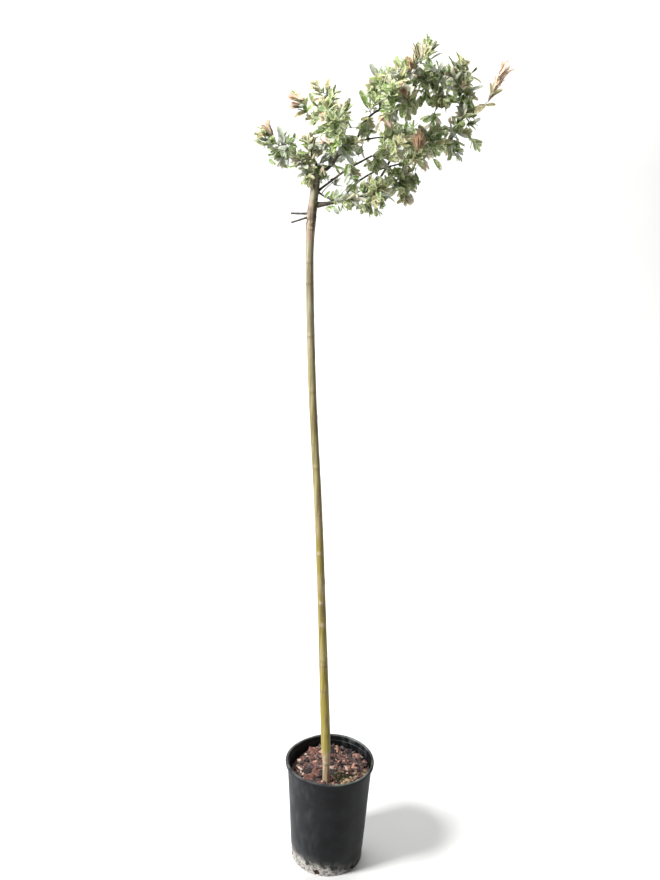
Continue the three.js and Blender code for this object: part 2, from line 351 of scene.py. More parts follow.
def pot_profile():
    """Radius and height of each ring, from the edge of the underside to the edge of the floor."""
    step = 28 * MM
    rings = [(FOOT_RADIUS - 1.1 * MM, 0.5 * MM), (FOOT_RADIUS - 0.2 * MM, 2 * MM)]
    rings += [(wall_radius(step) - 0.9 * MM, step - 1.5 * MM), (wall_radius(step), step)]
    for share in (0.2, 0.4, 0.6, 0.8):
        height = step + (LIP_FOOT - step) * share
        rings.append((wall_radius(height), height))
    rings.append((wall_radius(LIP_FOOT), LIP_FOOT - 0.6 * MM))
    lip_middle = RIM_RADIUS - 3.3 * MM
    lip_round = 3.3 * MM
    rings += [(WALL_TOP_RADIUS + 0.8 * MM, LIP_FOOT), (RIM_RADIUS - 0.6 * MM, LIP_FOOT + 0.2 * MM)]
    for turn in range(0, 181, 30):
        angle = math.radians(turn)
        height = POT_HEIGHT - lip_round + lip_round * math.sin(angle)
        rings.append((lip_middle + lip_round * math.cos(angle), height))
    ledge = POT_HEIGHT - 12 * MM
    inner_lip = lip_middle - lip_round
    rings += [(inner_lip, ledge), (wall_radius(ledge) - WALL - 1.2 * MM, ledge - 1.2 * MM)]
    for share in (0.85, 0.6, 0.3):
        rings.append((wall_radius(ledge * share) - WALL, ledge * share))
    rings.append((wall_radius(2.4 * MM) - WALL, 2.4 * MM))
    return rings


# %% Raise the pot
def raise_pot():
    rings = pot_profile()
    start_radius = FOOT_RADIUS - 2.4 * MM
    clear_selection()
    bpy.ops.mesh.primitive_circle_add(vertices=POT_SIDES, radius=start_radius, fill_type="NGON")
    pot = bpy.context.object
    edit_all()
    bpy.ops.mesh.inset(thickness=6 * MM)
    bpy.ops.transform.translate(value=(0, 0, 0.6 * MM))
    pick_vertices(pot, lambda co: Vector(co[:2]).length > start_radius - 1 * MM)
    radius, height = start_radius, 0.0
    for next_radius, next_height in rings:
        bpy.ops.mesh.extrude_edges_move(
            TRANSFORM_OT_translate={"value": (0, 0, next_height - height)})
        grow = next_radius / radius
        bpy.ops.transform.resize(value=(grow, grow, 1), center_override=(0, 0, next_height))
        radius, height = next_radius, next_height
    bpy.ops.mesh.edge_face_add()
    bpy.ops.object.mode_set(mode="OBJECT")
    close_up(pot)
    return pot


pot = raise_pot()
print("rings on the pot:", len(pot.data.vertices) // POT_SIDES)

# %% [markdown]
# The drain holes are cut with a short round bar, pushed through the corner of wall and floor, so
# each leaves half of its opening in the wall and half in the floor. The pot is soft, and years of
# handling leave its rim a little out of round, which a slow wave round the axis and two shallow
# dents give.

# %% Drain holes and a soft rim
DRAIN_HOLES = 6
FIRST_DRAIN = math.radians(256)
DRAIN_RADIUS = 6 * MM
# Each dent of the rim: its side, how wide it is as an angle, and its depth as a share.
DENTS = ((math.radians(128), 0.30, 0.020), (math.radians(-28), 0.16, 0.012))


def punch_drains(pot):
    for index in range(DRAIN_HOLES):
        angle = FIRST_DRAIN + 2 * math.pi * index / DRAIN_HOLES
        clear_selection()
        bpy.ops.mesh.primitive_cylinder_add(
            vertices=24, radius=DRAIN_RADIUS, depth=16 * MM,
            location=(FOOT_RADIUS * math.cos(angle), FOOT_RADIUS * math.sin(angle), 7 * MM),
            rotation=(0, math.radians(90), angle))
        punch = bpy.context.object
        bpy.ops.transform.resize(value=(1, 1, 1.35))
        add_modifier(pot, "BOOLEAN", object=punch, operation="DIFFERENCE", solver="EXACT")
        bpy.data.objects.remove(punch)


def soften_rim(pot):
    places = vertex_array(pot)
    angle = np.arctan2(places[:, 1], places[:, 0])
    rise = np.clip(places[:, 2] / POT_HEIGHT, 0, 1) ** 3
    wave = 0.010 * np.cos(2 * (angle - 0.3)) + 0.005 * np.cos(3 * (angle + 0.9))
    for dent, wide, deep in DENTS:
        wave -= deep * np.exp(-((angle - dent) / wide) ** 2)
    places[:, :2] *= (1 + wave * rise)[:, None]
    places[:, 2] += 0.7 * MM * rise * np.cos(2 * (angle - 1.2))
    put_vertices(pot, places)


punch_drains(pot)
soften_rim(pot)
make_active(pot)
bpy.ops.object.shade_smooth_by_angle(angle=math.radians(35))
print("pot faces:", len(pot.data.polygons))

# %% [markdown]
# The plastic is black polyethylene that has been outdoors: the gloss is gone, dust and dried
# splashes grey it, and hard water has left white lime round the foot, where the pot stood wet.
# The lime follows the height above the ground, is torn at its edge, and is thickest at the front
# left. The left side, towards the key light, is lighter: partly dust, partly painted light. The top
# of the rim is lighter grey, dust with a painted highlight, and the top of the wall at the back
# right is painted lighter grey in smeared patches, as light falling there.


# %% Weathered black polyethylene
def polyethylene_wear_and_painted_light():
    material, tree, shader, place = new_material("black_polyethylene_wear_and_painted_light", 0.5)
    shader.inputs["Specular IOR Level"].default_value = 0.17
    axes = add_node(tree, "ShaderNodeSeparateXYZ", {"Vector": place})
    x, z = axes.outputs["X"], axes.outputs["Z"]
    dust = mottle(tree, place, 38, 0.38, 0.70, detail=5)
    smears = mottle(tree, place, 16, 0.46, 0.72, detail=5, stretch=(1, 1, 0.45))
    # Lighter towards the left, the side of the key light: partly dust, partly painted light.
    left_dust_and_light = ramp_along(tree, x, 0.03, -0.09)
    colour = coat(tree, "#070708", dust, "#161a1d", 0.7)
    colour = coat(tree, colour, left_dust_and_light, "#323338", 0.4)
    colour = coat(tree, colour, times(tree, smears, left_dust_and_light), "#66666a", 0.22)
    # The top of the rim lighter grey in patches: dust with a painted highlight.
    rim_dust_and_highlight = times(tree, ramp_along(tree, z, POT_HEIGHT - 3 * MM, POT_HEIGHT - 0.5 * MM), dust)
    colour = coat(tree, colour, rim_dust_and_highlight, "#7d827c", 0.45)
    # Painted light: the top of the inner wall at the back right, where the key light falls on it, is
    # lighter grey in smeared patches.
    lit_back_right = times(tree, ramp_along(tree, axes.outputs["Y"], 0.0, 0.07),
                       ramp_along(tree, x, 0.0, 0.05))
    lit_inner_wall_top = times(tree, lit_back_right,
                     ramp_along(tree, z, POT_HEIGHT - 34 * MM, POT_HEIGHT - 8 * MM))
    colour = coat(tree, colour, times(tree, lit_inner_wall_top, smears), "#7b7d7f", 0.6)
    front_left = add_node(tree, "ShaderNodeVectorMath", {
        0: place, 1: (-0.75, -0.66, 0),
    }, operation="DOT_PRODUCT").outputs["Value"]
    lifted = times_and_add(tree, front_left, -0.18, z)
    torn = mottle(tree, place, 17, 0.40, 0.54, detail=6)
    grit = mottle(tree, place, 4, 0.30, 0.55, detail=4)
    edge = times_and_add(tree, torn, -16 * MM, lifted)
    fading = ramp_along(tree, x, 0.07, 0.0)
    lime = times(tree, times(tree, ramp_along(tree, edge, 9 * MM, -11 * MM), grit), fading)
    colour = coat(tree, colour, ramp_along(tree, edge, 26 * MM, 0.0), "#5e5e5b", 0.4)
    colour = coat(tree, colour, lime, "#cdc8c1")
    cover(tree, shader, colour, lime, 0.5)
    return material


finish_piece(pot, "pot_shell", [polyethylene_wear_and_painted_light()], ["pot"])

# %% [markdown]
# ## Compost and bark
#
# The pot is filled with dark compost, which shows through the drain holes, so its solid stays and
# only gets a finish. On top lies a layer of bark chips. A lumpy bed closes the gaps, and the
# chips are laid on it one by one: a few shapes are modelled and hundreds of copies are joined.


# %% Potting compost
def potting_compost():
    material, tree, shader, place = new_material("moist_potting_compost", 0.95)
    crumbs = mottle(tree, place, 3, 0.35, 0.65, detail=6)
    reddish = mottle(tree, place, 9, 0.45, 0.6)
    colour = coat(tree, "#1f1612", crumbs, "#4a342a")
    colour = coat(tree, colour, reddish, "#6a3f34", 0.5)
    cover(tree, shader, colour, crumbs, 1.2)
    return material


compost_finish = potting_compost()
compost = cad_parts["compost"]
compost.data.materials.clear()
compost.data.materials.append(compost_finish)

# %% Bark bed
bed_low, bed_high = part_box("bark_mulch")
BED_RADIUS = bed_high.x
BED_TOP = bed_low.z + 11 * MM
BED_RINGS = 18
HEAP = 8 * MM
HEAP_SIDE = math.radians(-40)
SUNK = 10 * MM
SUNK_SIDE = math.radians(180)


def share_towards(x, y, side):
    """How far a place lies towards one side of the pot, 0 in the middle and 1 at the wall."""
    return max(0, x * math.cos(side) + y * math.sin(side)) / BED_RADIUS


def bed_height(x, y):
    """Height of the bark at a place: heaped to the front right, sunk at the left, and lumpy."""
    heap = HEAP * share_towards(x, y, HEAP_SIDE) - SUNK * share_towards(x, y, SUNK_SIDE) ** 2
    lumps = noise.noise(Vector((x, y, 0)) * per_metre(14)) * 1.6 * MM
    return BED_TOP + heap + lumps


def lay_bed():
    clear_selection()
    bpy.ops.mesh.primitive_circle_add(
        vertices=64, radius=BED_RADIUS - 0.5 * MM, fill_type="NGON", location=(0, 0, bed_low.z))
    bed = bpy.context.object
    bpy.ops.object.transform_apply(location=True)
    edit_all()
    bpy.ops.mesh.extrude_region_move(TRANSFORM_OT_translate={"value": (0, 0, 9 * MM)})
    for _ in range(BED_RINGS):
        bpy.ops.mesh.inset(thickness=BED_RADIUS / (BED_RINGS + 1))
    bpy.ops.object.mode_set(mode="OBJECT")
    places = vertex_array(bed)
    top = places[:, 2] > bed_low.z + 5 * MM
    places[top, 2] = [bed_height(x, y) for x, y in places[top, :2]]
    put_vertices(bed, places)
    close_up(bed)
    make_active(bed)
    bpy.ops.object.shade_smooth()
    return bed


finish_piece(lay_bed(), "bark_bed", [compost_finish], ["bark_mulch"])

# %% [markdown]
# A bark chip is a flat, torn flake with blunt corners. Four are made from a cube each: it is
# flattened, subdivided once and shaken with a fixed seed. The copies are turned every way but
# mostly lie flat, largest on the left and finest at the front right, where straw is mixed in, and
# leave gaps. The near-black 'dark' chips, about a third of them, are painted shade: they stand for
# the shaded gaps between the chips.


# %% Model the bark flakes
def model_flake(seed):
    clear_selection()
    bpy.ops.mesh.primitive_cube_add(size=1)
    flake = bpy.context.object
    edit_all()
    bpy.ops.transform.resize(value=(1, 0.62, 0.3))
    bpy.ops.mesh.subdivide(number_cuts=1)
    bpy.ops.transform.vertex_random(offset=0.15, seed=seed)
    bpy.ops.object.mode_set(mode="OBJECT")
    add_modifier(flake, "TRIANGULATE")
    return take_shape(flake)


flakes = [model_flake(seed) for seed in (3, 8, 14, 21)]
print("faces of the flakes:", [len(faces) for _, faces in flakes])


# %% Lay the chips
def random_turn(random_source, tip_over):
    """A turn that leans a flake over by up to tip_over degrees and spins it freely."""
    lean = math.radians(random_source.gauss(0, tip_over))
    lean_axis = Vector((random_source.uniform(-1, 1), random_source.uniform(-1, 1), 0.01))
    spin = Matrix.Rotation(random_source.uniform(0, 2 * math.pi), 3, "Z")
    return Matrix.Rotation(lean, 3, lean_axis.normalized()) @ spin


def stamp(shapes, placements):
    """Copies of modelled shapes as one table of points and one of triangles."""
    return join_arrays([
        (shapes[index][0] @ np.array(matrix).T + np.array(centre), shapes[index][1])
        for index, matrix, centre in placements
    ])


STEM_FOOT = Vector((-6.5 * MM, -50.5 * MM, bed_low.z))
CLEAR_OF_STEM = 11 * MM
CHIP_COUNT = 740
# The 'dark' chips are painted shade: near-black flakes that stand for the shaded gaps between chips.
CHIP_KINDS = {"red": 0.27, "plum": 0.20, "dark": 0.32, "tan": 0.15, "pale": 0.06}
FINE_KINDS = {"red": 0.14, "plum": 0.06, "dark": 0.22, "straw": 0.40, "pale": 0.18}


def scatter_chips(count, seed):
    """For each kind of chip, its shape, turn and place."""
    chance = random.Random(seed)
    laid = {kind: [] for kind in (*CHIP_KINDS, "straw")}
    for number in range(count):
        radius = (BED_RADIUS - 3.5 * MM) * math.sqrt(chance.random())
        angle = chance.uniform(0, 2 * math.pi)
        x, y = radius * math.cos(angle), radius * math.sin(angle)
        if math.hypot(x - STEM_FOOT.x, y - STEM_FOOT.y) < CLEAR_OF_STEM:
            continue
        at_front_right = x > 8 * MM and y < -14 * MM
        coarse = 1.45 if x < 0 else 0.6 if at_front_right else 0.95
        length = chance.triangular(8, 20, 11) * coarse * MM
        size = Matrix.Diagonal((length, length * chance.uniform(0.7, 1.2), length * 0.8))
        turn = random_turn(chance, 32)
        layer = number / count * 5 * MM
        weights = FINE_KINDS if at_front_right else CHIP_KINDS
        kind = chance.choices(list(weights), weights.values())[0]
        centre = (x, y, bed_height(x, y) - 1.5 * MM + layer)
        room = BED_RADIUS - 2 * MM - length / 2 - 15 * MM * share_towards(x, y, SUNK_SIDE) ** 2
        if radius > room:
            centre = (x * room / radius, y * room / radius, centre[2])
        laid[kind].append((chance.randrange(len(flakes)), turn @ size, centre))
    return laid


def bark_flake_finish(name, dark, light):
    """Dry bark: matt, fibrous, darker in its cracks."""
    material, tree, shader, place = new_material(name, 0.88)
    grain = mottle(tree, place, 2.5, 0.35, 0.65, detail=5, stretch=(1, 0.4, 1))
    patches = mottle(tree, place, 8, 0.3, 0.7)
    colour = coat(tree, dark, grain, light)
    colour = coat(tree, colour, patches, dark, 0.35)
    cover(tree, shader, colour, grain, 0.4)
    return material


CHIP_COLOURS = {
    "red": ("#371f19", "#7b5144"),
    "plum": ("#2a1e1c", "#5e4a48"),
    # Painted shade: the 'dark' colours make near-black chips for the shaded gaps.
    "dark": ("#0f0a08", "#241a15"),
    "tan": ("#6a4a3c", "#b08a76"),
    "pale": ("#80665a", "#bda596"),
    "straw": ("#5e4a34", "#a88d6a"),
}

for kind, placements in scatter_chips(CHIP_COUNT, seed=41).items():
    points, faces = stamp(flakes, placements)
    chips = mesh_from_arrays(f"bark_chips_{kind}", points, faces)
    finish = bark_flake_finish(f"dry_bark_{kind}", *CHIP_COLOURS[kind])
    finish_piece(chips, f"bark_chips_{kind}", [finish])

# %% [markdown]
# Moss has taken hold to the right of the stem, where the bark stays damp. Each tuft is a small
# lumpy ball, and some 160 of them run together into a cushion.


# %% Moss
def model_tuft():
    clear_selection()
    bpy.ops.mesh.primitive_ico_sphere_add(subdivisions=2, radius=1)
    tuft = bpy.context.object
    edit_all()
    bpy.ops.transform.vertex_random(offset=0.3, seed=5)
    bpy.ops.transform.resize(value=(1, 1, 0.8))
    bpy.ops.object.mode_set(mode="OBJECT")
    return take_shape(tuft)


def grow_moss(most_tufts, seed):
    chance = random.Random(seed)
    placements = []
    for _ in range(most_tufts):
        x = STEM_FOOT.x + 24 * MM + chance.gauss(0, 14) * MM
        y = STEM_FOOT.y + 15 * MM + chance.gauss(0, 10) * MM
        from_stem = math.hypot(x - STEM_FOOT.x, y - STEM_FOOT.y)
        if math.hypot(x, y) > BED_RADIUS - 4 * MM or from_stem < CLEAR_OF_STEM:
            continue
        size = chance.uniform(0.9, 2.2) * MM
        matrix = Matrix.Rotation(chance.uniform(0, 6), 3, "Z") @ Matrix.Diagonal((size,) * 3)
        placements.append((0, matrix, (x, y, bed_height(x, y) + chance.uniform(1.5, 5.5) * MM)))
    points, faces = stamp([model_tuft()], placements)
    material, tree, shader, place = new_material("cushion_moss", 0.95)
    tips = mottle(tree, place, 1.5, 0.35, 0.65)
    cover(tree, shader, coat(tree, "#171b0c", tips, "#434a24"), tips, 0.6)
    finish_piece(mesh_from_arrays("moss", points, faces), "moss", [material])


grow_moss(most_tufts=170, seed=17)

# %% [markdown]
# ## Reading the limbs
#
# The stem and boughs are solids of the frame, and their skins follow the solids' lines. A limb
# is sliced like a sausage: a plane across it cuts a small ring, whose middle and mean radius give
# one point of the limb. A first pass slices across the straight line from foot to tip, and the
# next ones slice across the line that the pass before found.


# %% Slice the limbs
def unit(vectors):
    return vectors / np.linalg.norm(vectors, axis=-1, keepdims=True)


def lengths_along(line):
    """How far along a line each of its points lies."""
    return np.concatenate([[0], np.cumsum(np.linalg.norm(np.diff(line, axis=0), axis=1))])


def slice_ring(points, edges, middle, across, reach):
    """Middle and mean radius of the ring that a plane cuts out of a limb."""
    side = (points - middle) @ across
    first, second = edges[:, 0], edges[:, 1]
    cut = side[first] * side[second] < 0
    share = side[first][cut] / (side[first][cut] - side[second][cut])
    hits = points[first][cut] + share[:, None] * (points[second][cut] - points[first][cut])
    hits = hits[np.linalg.norm(hits - middle, axis=1) < reach]
    centre = hits.mean(0)
    return centre, np.linalg.norm(hits - centre, axis=1).mean()


def read_limb(node, foot, cuts):
    """The middle line and radii of a limb's solid, from its foot to its tip."""
    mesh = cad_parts[node].data
    points = vertex_array(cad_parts[node])
    edges = np.array([e.vertices[:] for e in mesh.edges])
    distance = np.linalg.norm(points - foot, axis=1)
    foot = points[distance < distance.min() + 3 * MM].mean(0)
    distance = np.linalg.norm(points - foot, axis=1)
    tip = points[distance > distance.max() - 2.5 * MM].mean(0)
    line = np.linspace(foot, tip, cuts)
    radii = np.zeros(cuts)
    for reach in (60 * MM, 16 * MM, 14 * MM):
        across = unit(np.gradient(line, axis=0))
        for i in range(1, cuts - 1):
            line[i], radii[i] = slice_ring(points, edges, line[i], across[i], reach)
    radii[0], radii[-1] = radii[1], radii[-2]
    return line, radii


def resample(line, radii, step):
    """The same limb with points at even steps, rounded off between the slices."""
    along = lengths_along(line)
    marks = np.linspace(0, along[-1], max(4, int(along[-1] / step) + 1))
    fine = np.stack([np.interp(marks, along, line[:, axis]) for axis in range(3)], 1)
    rounds = max(1, int(0.35 * (along[1] - along[0]) / step) ** 2)
    for _ in range(min(rounds, 200)):
        fine[1:-1] = fine[1:-1] * 0.5 + (fine[:-2] + fine[2:]) * 0.25
    return fine, np.interp(marks, along, radii)


stem_line, stem_radii = read_limb("trunk", np.array(STEM_FOOT), 60)
print("stem length, mm:", round(lengths_along(stem_line)[-1] / MM))
print("stem thickness at the foot and at the graft, mm:",
      round(2 * stem_radii[3] / MM, 1), round(2 * stem_radii[-5] / MM, 1))

# %% Which limb grows from which
LIMB_STEP = 1.5 * MM
BOUGH_PARENTS = {
    "lowest_bough": "trunk", "middle_bough": "trunk", "upper_bough": "trunk",
    "left_bough": "trunk", "leader": "trunk", "curved_twig": "trunk", "back_bough": "trunk",
    "upper_stub": "trunk", "lower_stub": "trunk",
    "lowest_side_twig": "lowest_bough", "low_twig": "lowest_bough",
    "arch_bough": "upper_bough", "centre_twig": "arch_bough",
}
STUBS = ("upper_stub", "lower_stub")


def nearest_on(line, points):
    """The point of a line that lies nearest to any of some points."""
    distance = np.linalg.norm(line[:, None] - points[None], axis=2)
    return line[np.unravel_index(distance.argmin(), distance.shape)[0]]


def draw_in_top(line, radii, reach, top_radius):
    """Narrows the end of a limb to the radius of the shoot that carries on from it."""
    to_end = np.linalg.norm(line - line[-1], axis=1)
    share = np.sqrt(np.clip(to_end / reach, 0, 1))
    return line, top_radius + (radii - top_radius) * share


limbs = {"trunk": draw_in_top(*resample(stem_line, stem_radii, LIMB_STEP), 26 * MM, 3.2 * MM)}
for bough, parent in BOUGH_PARENTS.items():
    root = nearest_on(limbs[parent][0], vertex_array(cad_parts[bough]))
    line, radii = read_limb(bough, root, 12)
    line = np.concatenate([[root], line])
    radii = np.concatenate([[radii[0] * 1.15], radii])
    limbs[bough] = resample(line, radii, LIMB_STEP)
    print(bough, "length, mm:", round(len(limbs[bough][0]) * LIMB_STEP / MM))

# %% [markdown]
# ## Bark with relief
#
# A limb's skin starts as a path with a round bevel, its radius set at every point, and is turned
# to a mesh. Then it is carved: each vertex is moved in or out by how the real bark stands there.
# The rod of the stem has a ring and a bud scar at every joint, a few callused pruning scars, and
# a lumpy graft; a bough has a collar where it leaves its parent and small joints. The stem's
# bark stands 1 to 2 mm off its solid, most of all in its stout lowest third, but is drawn in to
# 1 mm inside it at the bare foot. The two dead stubs are skinned alike, a little thicker, and
# are a piece of their own in grey wood.


# %% Skin a limb
def skin_limb(name, line, radii, bevel_steps):
    clear_selection()
    bpy.ops.curve.primitive_nurbs_path_add()
    path = bpy.context.object
    path.data.splines.clear()
    spline = path.data.splines.new("POLY")
    spline.points.add(len(line) - 1)
    spline.points.foreach_set("co", np.column_stack([line, np.ones(len(line))]).ravel())
    spline.points.foreach_set("radius", radii / MM)
    path.data.dimensions = "3D"
    path.data.bevel_depth = MM
    path.data.bevel_resolution = bevel_steps
    path.data.use_fill_caps = True
    bpy.ops.object.convert(target="MESH")
    limb = bpy.context.object
    limb.name = name
    close_up(limb)
    return limb


def stations(places, line):
    """For each vertex, the number of the nearest point of the limb's line."""
    nearest = np.empty(len(places), int)
    for start in range(0, len(places), 4000):
        block = places[start:start + 4000]
        nearest[start:start + 4000] = ((block[:, None] - line[None]) ** 2).sum(2).argmin(1)
    return nearest


def carve(limb, line, relief):
    """Moves each vertex out from the limb's line by relief(place, outward, length along)."""
    places = vertex_array(limb)
    nearest = stations(places, line)
    along = lengths_along(line)
    outward = unit(places - line[nearest] + 1e-9)
    moves = relief(places, outward, along[nearest])
    put_vertices(limb, places + outward * moves[:, None])
    make_active(limb)
    bpy.ops.object.shade_smooth()


def noise_at(places, feature_mm, offset=0.0):
    """Soft noise from about -1 to 1 at each place."""
    scale = per_metre(feature_mm)
    return np.array([noise.noise(Vector(p) * scale + Vector((offset,) * 3)) for p in places])


# %% Relief of the stem
# Each joint: its height in mm, the side of its bud in degrees (0 is right and -90 the front),
# how far it stands out, how dark its ring is and how pale its scar.
STEM_MARKS = [
    (262, -95, 1.3, 0.9, 0.5), (287, 190, 1.5, 0.3, 1.0), (331, -40, 0.6, 0.5, 0.0),
    (378, 120, 0.8, 0.3, 0.3), (431, -120, 0.6, 0.6, 0.0), (486, -70, 0.5, 0.9, 0.0),
    (497, -110, 0.4, 0.8, 0.0), (512, 60, 0.7, 0.5, 0.2), (574, -80, 0.7, 0.2, 0.9),
    (622, -105, 0.8, 0.3, 1.0), (664, 20, 0.7, 0.5, 0.0), (725, -100, 1.0, 0.4, 0.8),
    (771, 150, 0.7, 0.4, 0.2), (808, -60, 0.4, 0.6, 0.0), (856, 80, 0.7, 0.4, 0.3),
    (903, -85, 1.0, 0.9, 0.7), (949, -150, 0.5, 0.5, 0.0), (1001, 10, 0.7, 0.5, 0.3),
    (1052, -95, 0.5, 0.7, 0.2), (1098, 130, 0.8, 0.4, 0.0), (1158, -110, 1.1, 0.9, 0.4),
    (1196, -20, 0.5, 0.5, 0.0), (1256, -130, 0.9, 1.0, 0.2), (1294, -100, 0.9, 0.7, 0.3),
    (1330, 40, 0.8, 0.6, 0.3), (1354, -50, 1.2, 1.2, 0.0), (1372, -150, 1.6, 0.9, 0.5),
]
# Knots at the graft: height in mm, side in degrees and radius in mm.
STEM_KNOTS = [
    (1361, -62, 3.2), (1363, -168, 3.0), (1390, -48, 3.6), (1377, -20, 4.5), (1402, -75, 2.8),
]
GRAFT_HEIGHT = 1372 * MM


def stem_marks(places, outward):
    """For each vertex, how far the joints move it out, how dark it is, with painted shade on the
    right side above the graft, and how pale.
    """
    side = np.arctan2(outward[:, 1], outward[:, 0])
    relief, dark, pale = (np.zeros(len(places)) for _ in range(3))
    for height, turn, stands, ring, scar in STEM_MARKS:
        off = places[:, 2] / MM - height + 1.2 * np.cos(side - math.radians(turn))
        facing = np.cos(side - math.radians(turn))
        bud = np.exp(-((off - 3) / 4) ** 2) * np.clip(facing, 0, 1) ** 5
        relief += stands * (0.2 * np.exp(-(off / 1.6) ** 2) + 0.9 * bud)
        near_bud = 0.25 + 0.75 * np.clip(facing, 0, 1) ** 2
        dark += ring * np.exp(-((off + 1) / 2.2) ** 2) * near_bud
        pale += scar * np.exp(-((off - 3) / 5) ** 2) * np.clip(facing, 0, 1) ** 2
    dark = np.clip(dark, 0, 0.75)
    for height, turn, radius in STEM_KNOTS:
        round_by = np.angle(np.exp(1j * (side - math.radians(turn)))) * 8
        dark += 3 * np.exp(-((places[:, 2] / MM - height) ** 2 + round_by ** 2) / radius ** 2)
    # Painted shade: above the graft the right side, away from the key light, is made darker.
    above_graft = np.clip((places[:, 2] - GRAFT_HEIGHT + 25 * MM) / (25 * MM), 0, 1)
    dark += above_graft * np.clip(1.8 * outward[:, 0] - 0.2, 0, 1)
    return relief * MM, np.clip(dark, 0, 1.3), np.clip(pale, 0, 1)


def stem_relief(places, outward, along):
    side = np.arctan2(outward[:, 1], outward[:, 0])
    stout_foot = np.clip((0.56 - places[:, 2]) / 0.16, 0, 1)
    slim_sleeve = np.clip((0.30 - places[:, 2]) / 0.04, 0, 1)
    moves = 1.05 * MM + 0.8 * MM * stout_foot - 2.9 * MM * slim_sleeve
    moves += 0.22 * MM * noise_at(places, 22) + 0.10 * MM * noise_at(places, 5, 7.0)
    moves += stem_marks(places, outward)[0]
    graft = np.exp(-((places[:, 2] - GRAFT_HEIGHT) / (22 * MM)) ** 2)
    moves += graft * MM * (0.9 + 1.3 * noise_at(places, 11, 3.0) + 0.5 * noise_at(places, 4, 9.0))
    flutes = np.exp(-(along / (30 * MM)) ** 2) * np.cos(5 * side + 0.6)
    return moves + 0.6 * MM * flutes


def store_marks(piece, line):
    """Keeps the dark rings and knots, the painted shade above the graft and the pale scars with the
    mesh.
    """
    places = vertex_array(piece)
    outward = unit(places - line[stations(places, line)] + 1e-9)
    _, dark, pale = stem_marks(places, outward)
    store_values(piece, "rings_knots_painted_shade", dark)
    store_values(piece, "pale_scar", pale)


stem = skin_limb("stem_bark", *limbs["trunk"], 12)
carve(stem, limbs["trunk"][0], stem_relief)
store_marks(stem, limbs["trunk"][0])
print("vertices on the stem:", len(stem.data.vertices))

# %% [markdown]
# The rod's bark is smooth and waxy, with fine fibres along it. It is pale tan and bare for a
# hand's breadth above the compost, olive above that, and turns grey-cream towards the graft,
# where the sun has aged it. Dark rings and pale scars mark the joints, and small pale pores are
# scattered over it.
# Above the graft the right side, away from the light, is painted darker as shade.


# %% Willow rod bark
def stem_bark_with_painted_shade():
    material, tree, shader, place = new_material("smooth_willow_bark_with_painted_shade", 0.58)
    z = add_node(tree, "ShaderNodeSeparateXYZ", {"Vector": place}).outputs["Z"]
    clouds = mottle(tree, place, 40, 0.3, 0.7)
    wander = times_and_add(tree, clouds, 70 * MM, z)
    colour = "#b89e80"
    for start, end, next_colour in (
        (0.305, 0.33, "#8e7f2c"), (0.50, 0.70, "#8c7e3a"), (0.74, 1.02, "#8e8556"),
        (1.04, 1.30, "#968f76"), (1.36, 1.40, "#917d6b"), (1.42, 1.46, "#8a846f"),
        (1.50, 1.54, "#6b6450"),
    ):
        colour = coat(tree, colour, ramp_along(tree, wander, start, end), next_colour)
    brown = mottle(tree, place, 30, 0.48, 0.62, detail=4, stretch=(1, 1, 0.35))
    colour = coat(tree, colour, brown, "#6a522c", 0.45)
    bloom = mottle(tree, place, 24, 0.50, 0.66, detail=4, stretch=(1, 1, 0.5))
    colour = coat(tree, colour, bloom, "#b39f88", 0.3)
    dark_fibres = mottle(tree, place, 3.6, 0.46, 0.66, detail=4, stretch=(1, 1, 0.03))
    colour = coat(tree, colour, dark_fibres, "#4d4524", 0.55)
    pale_fibres = mottle(tree, place, 5, 0.54, 0.72, detail=4, stretch=(1, 1, 0.025))
    colour = coat(tree, colour, pale_fibres, "#bfb890", 0.5)
    ragged = mottle(tree, place, 6, 0.30, 0.55, detail=4)
    # This mesh value holds the dark rings and knots, and the painted shade on the right side above
    # the graft.
    rings = times(tree, mesh_value(tree, "rings_knots_painted_shade"), ragged)
    colour = coat(tree, colour, rings, "#463820", 0.7)
    scars = times(tree, mesh_value(tree, "pale_scar"), ragged)
    colour = coat(tree, colour, scars, "#c9b098", 0.6)
    knobbly = times(tree, ramp_along(tree, z, 1.345, 1.375),
                    mottle(tree, place, 13, 0.46, 0.60, detail=5, stretch=(1, 1, 0.6)))
    colour = coat(tree, colour, knobbly, "#43352b", 0.5)
    cells = add_node(tree, "ShaderNodeTexVoronoi", {
        "Vector": place, "Scale": per_metre(9), "Randomness": 1.0,
    })
    pores = ramp_along(tree, cells.outputs["Distance"], 0.12, 0.06)
    colour = coat(tree, colour, pores, "#c4b792", 0.5)
    cover(tree, shader, colour, dark_fibres, 0.3)
    return material


finish_piece(stem, "stem_bark", [stem_bark_with_painted_shade()], ["trunk"])


# %% Skin the boughs
def bough_relief(places, outward, along):
    joints = 0.5 + 0.5 * np.cos(2 * math.pi * along / (13 * MM))
    collar = np.exp(-((along - 8 * MM) / (4.5 * MM)) ** 2)
    lumps = 0.16 * noise_at(places, 7) + 0.1 * noise_at(places, 2.5, 4.0)
    return MM * (0.28 * joints ** 8 + 0.5 * collar + lumps)


def join_pieces(parts, name):
    clear_selection()
    for part in parts:
        part.select_set(True)
    bpy.context.view_layer.objects.active = parts[0]
    bpy.ops.object.join()
    parts[0].name = name
    return parts[0]


def skin_boughs(names, name):
    """The skins of some boughs, carved and joined into one piece."""
    skins = []
    for bough in names:
        line, radii = limbs[bough]
        swelling = 0.4 * MM if bough in STUBS else 0
        skin = skin_limb(bough + "_skin", line, radii + swelling, 4)
        carve(skin, line, bough_relief)
        skins.append(skin)
    return join_pieces(skins, name)


live_boughs = [bough for bough in BOUGH_PARENTS if bough not in STUBS]
boughs = skin_boughs(live_boughs, "bough_bark")
stubs = skin_boughs(STUBS, "dead_stubs")


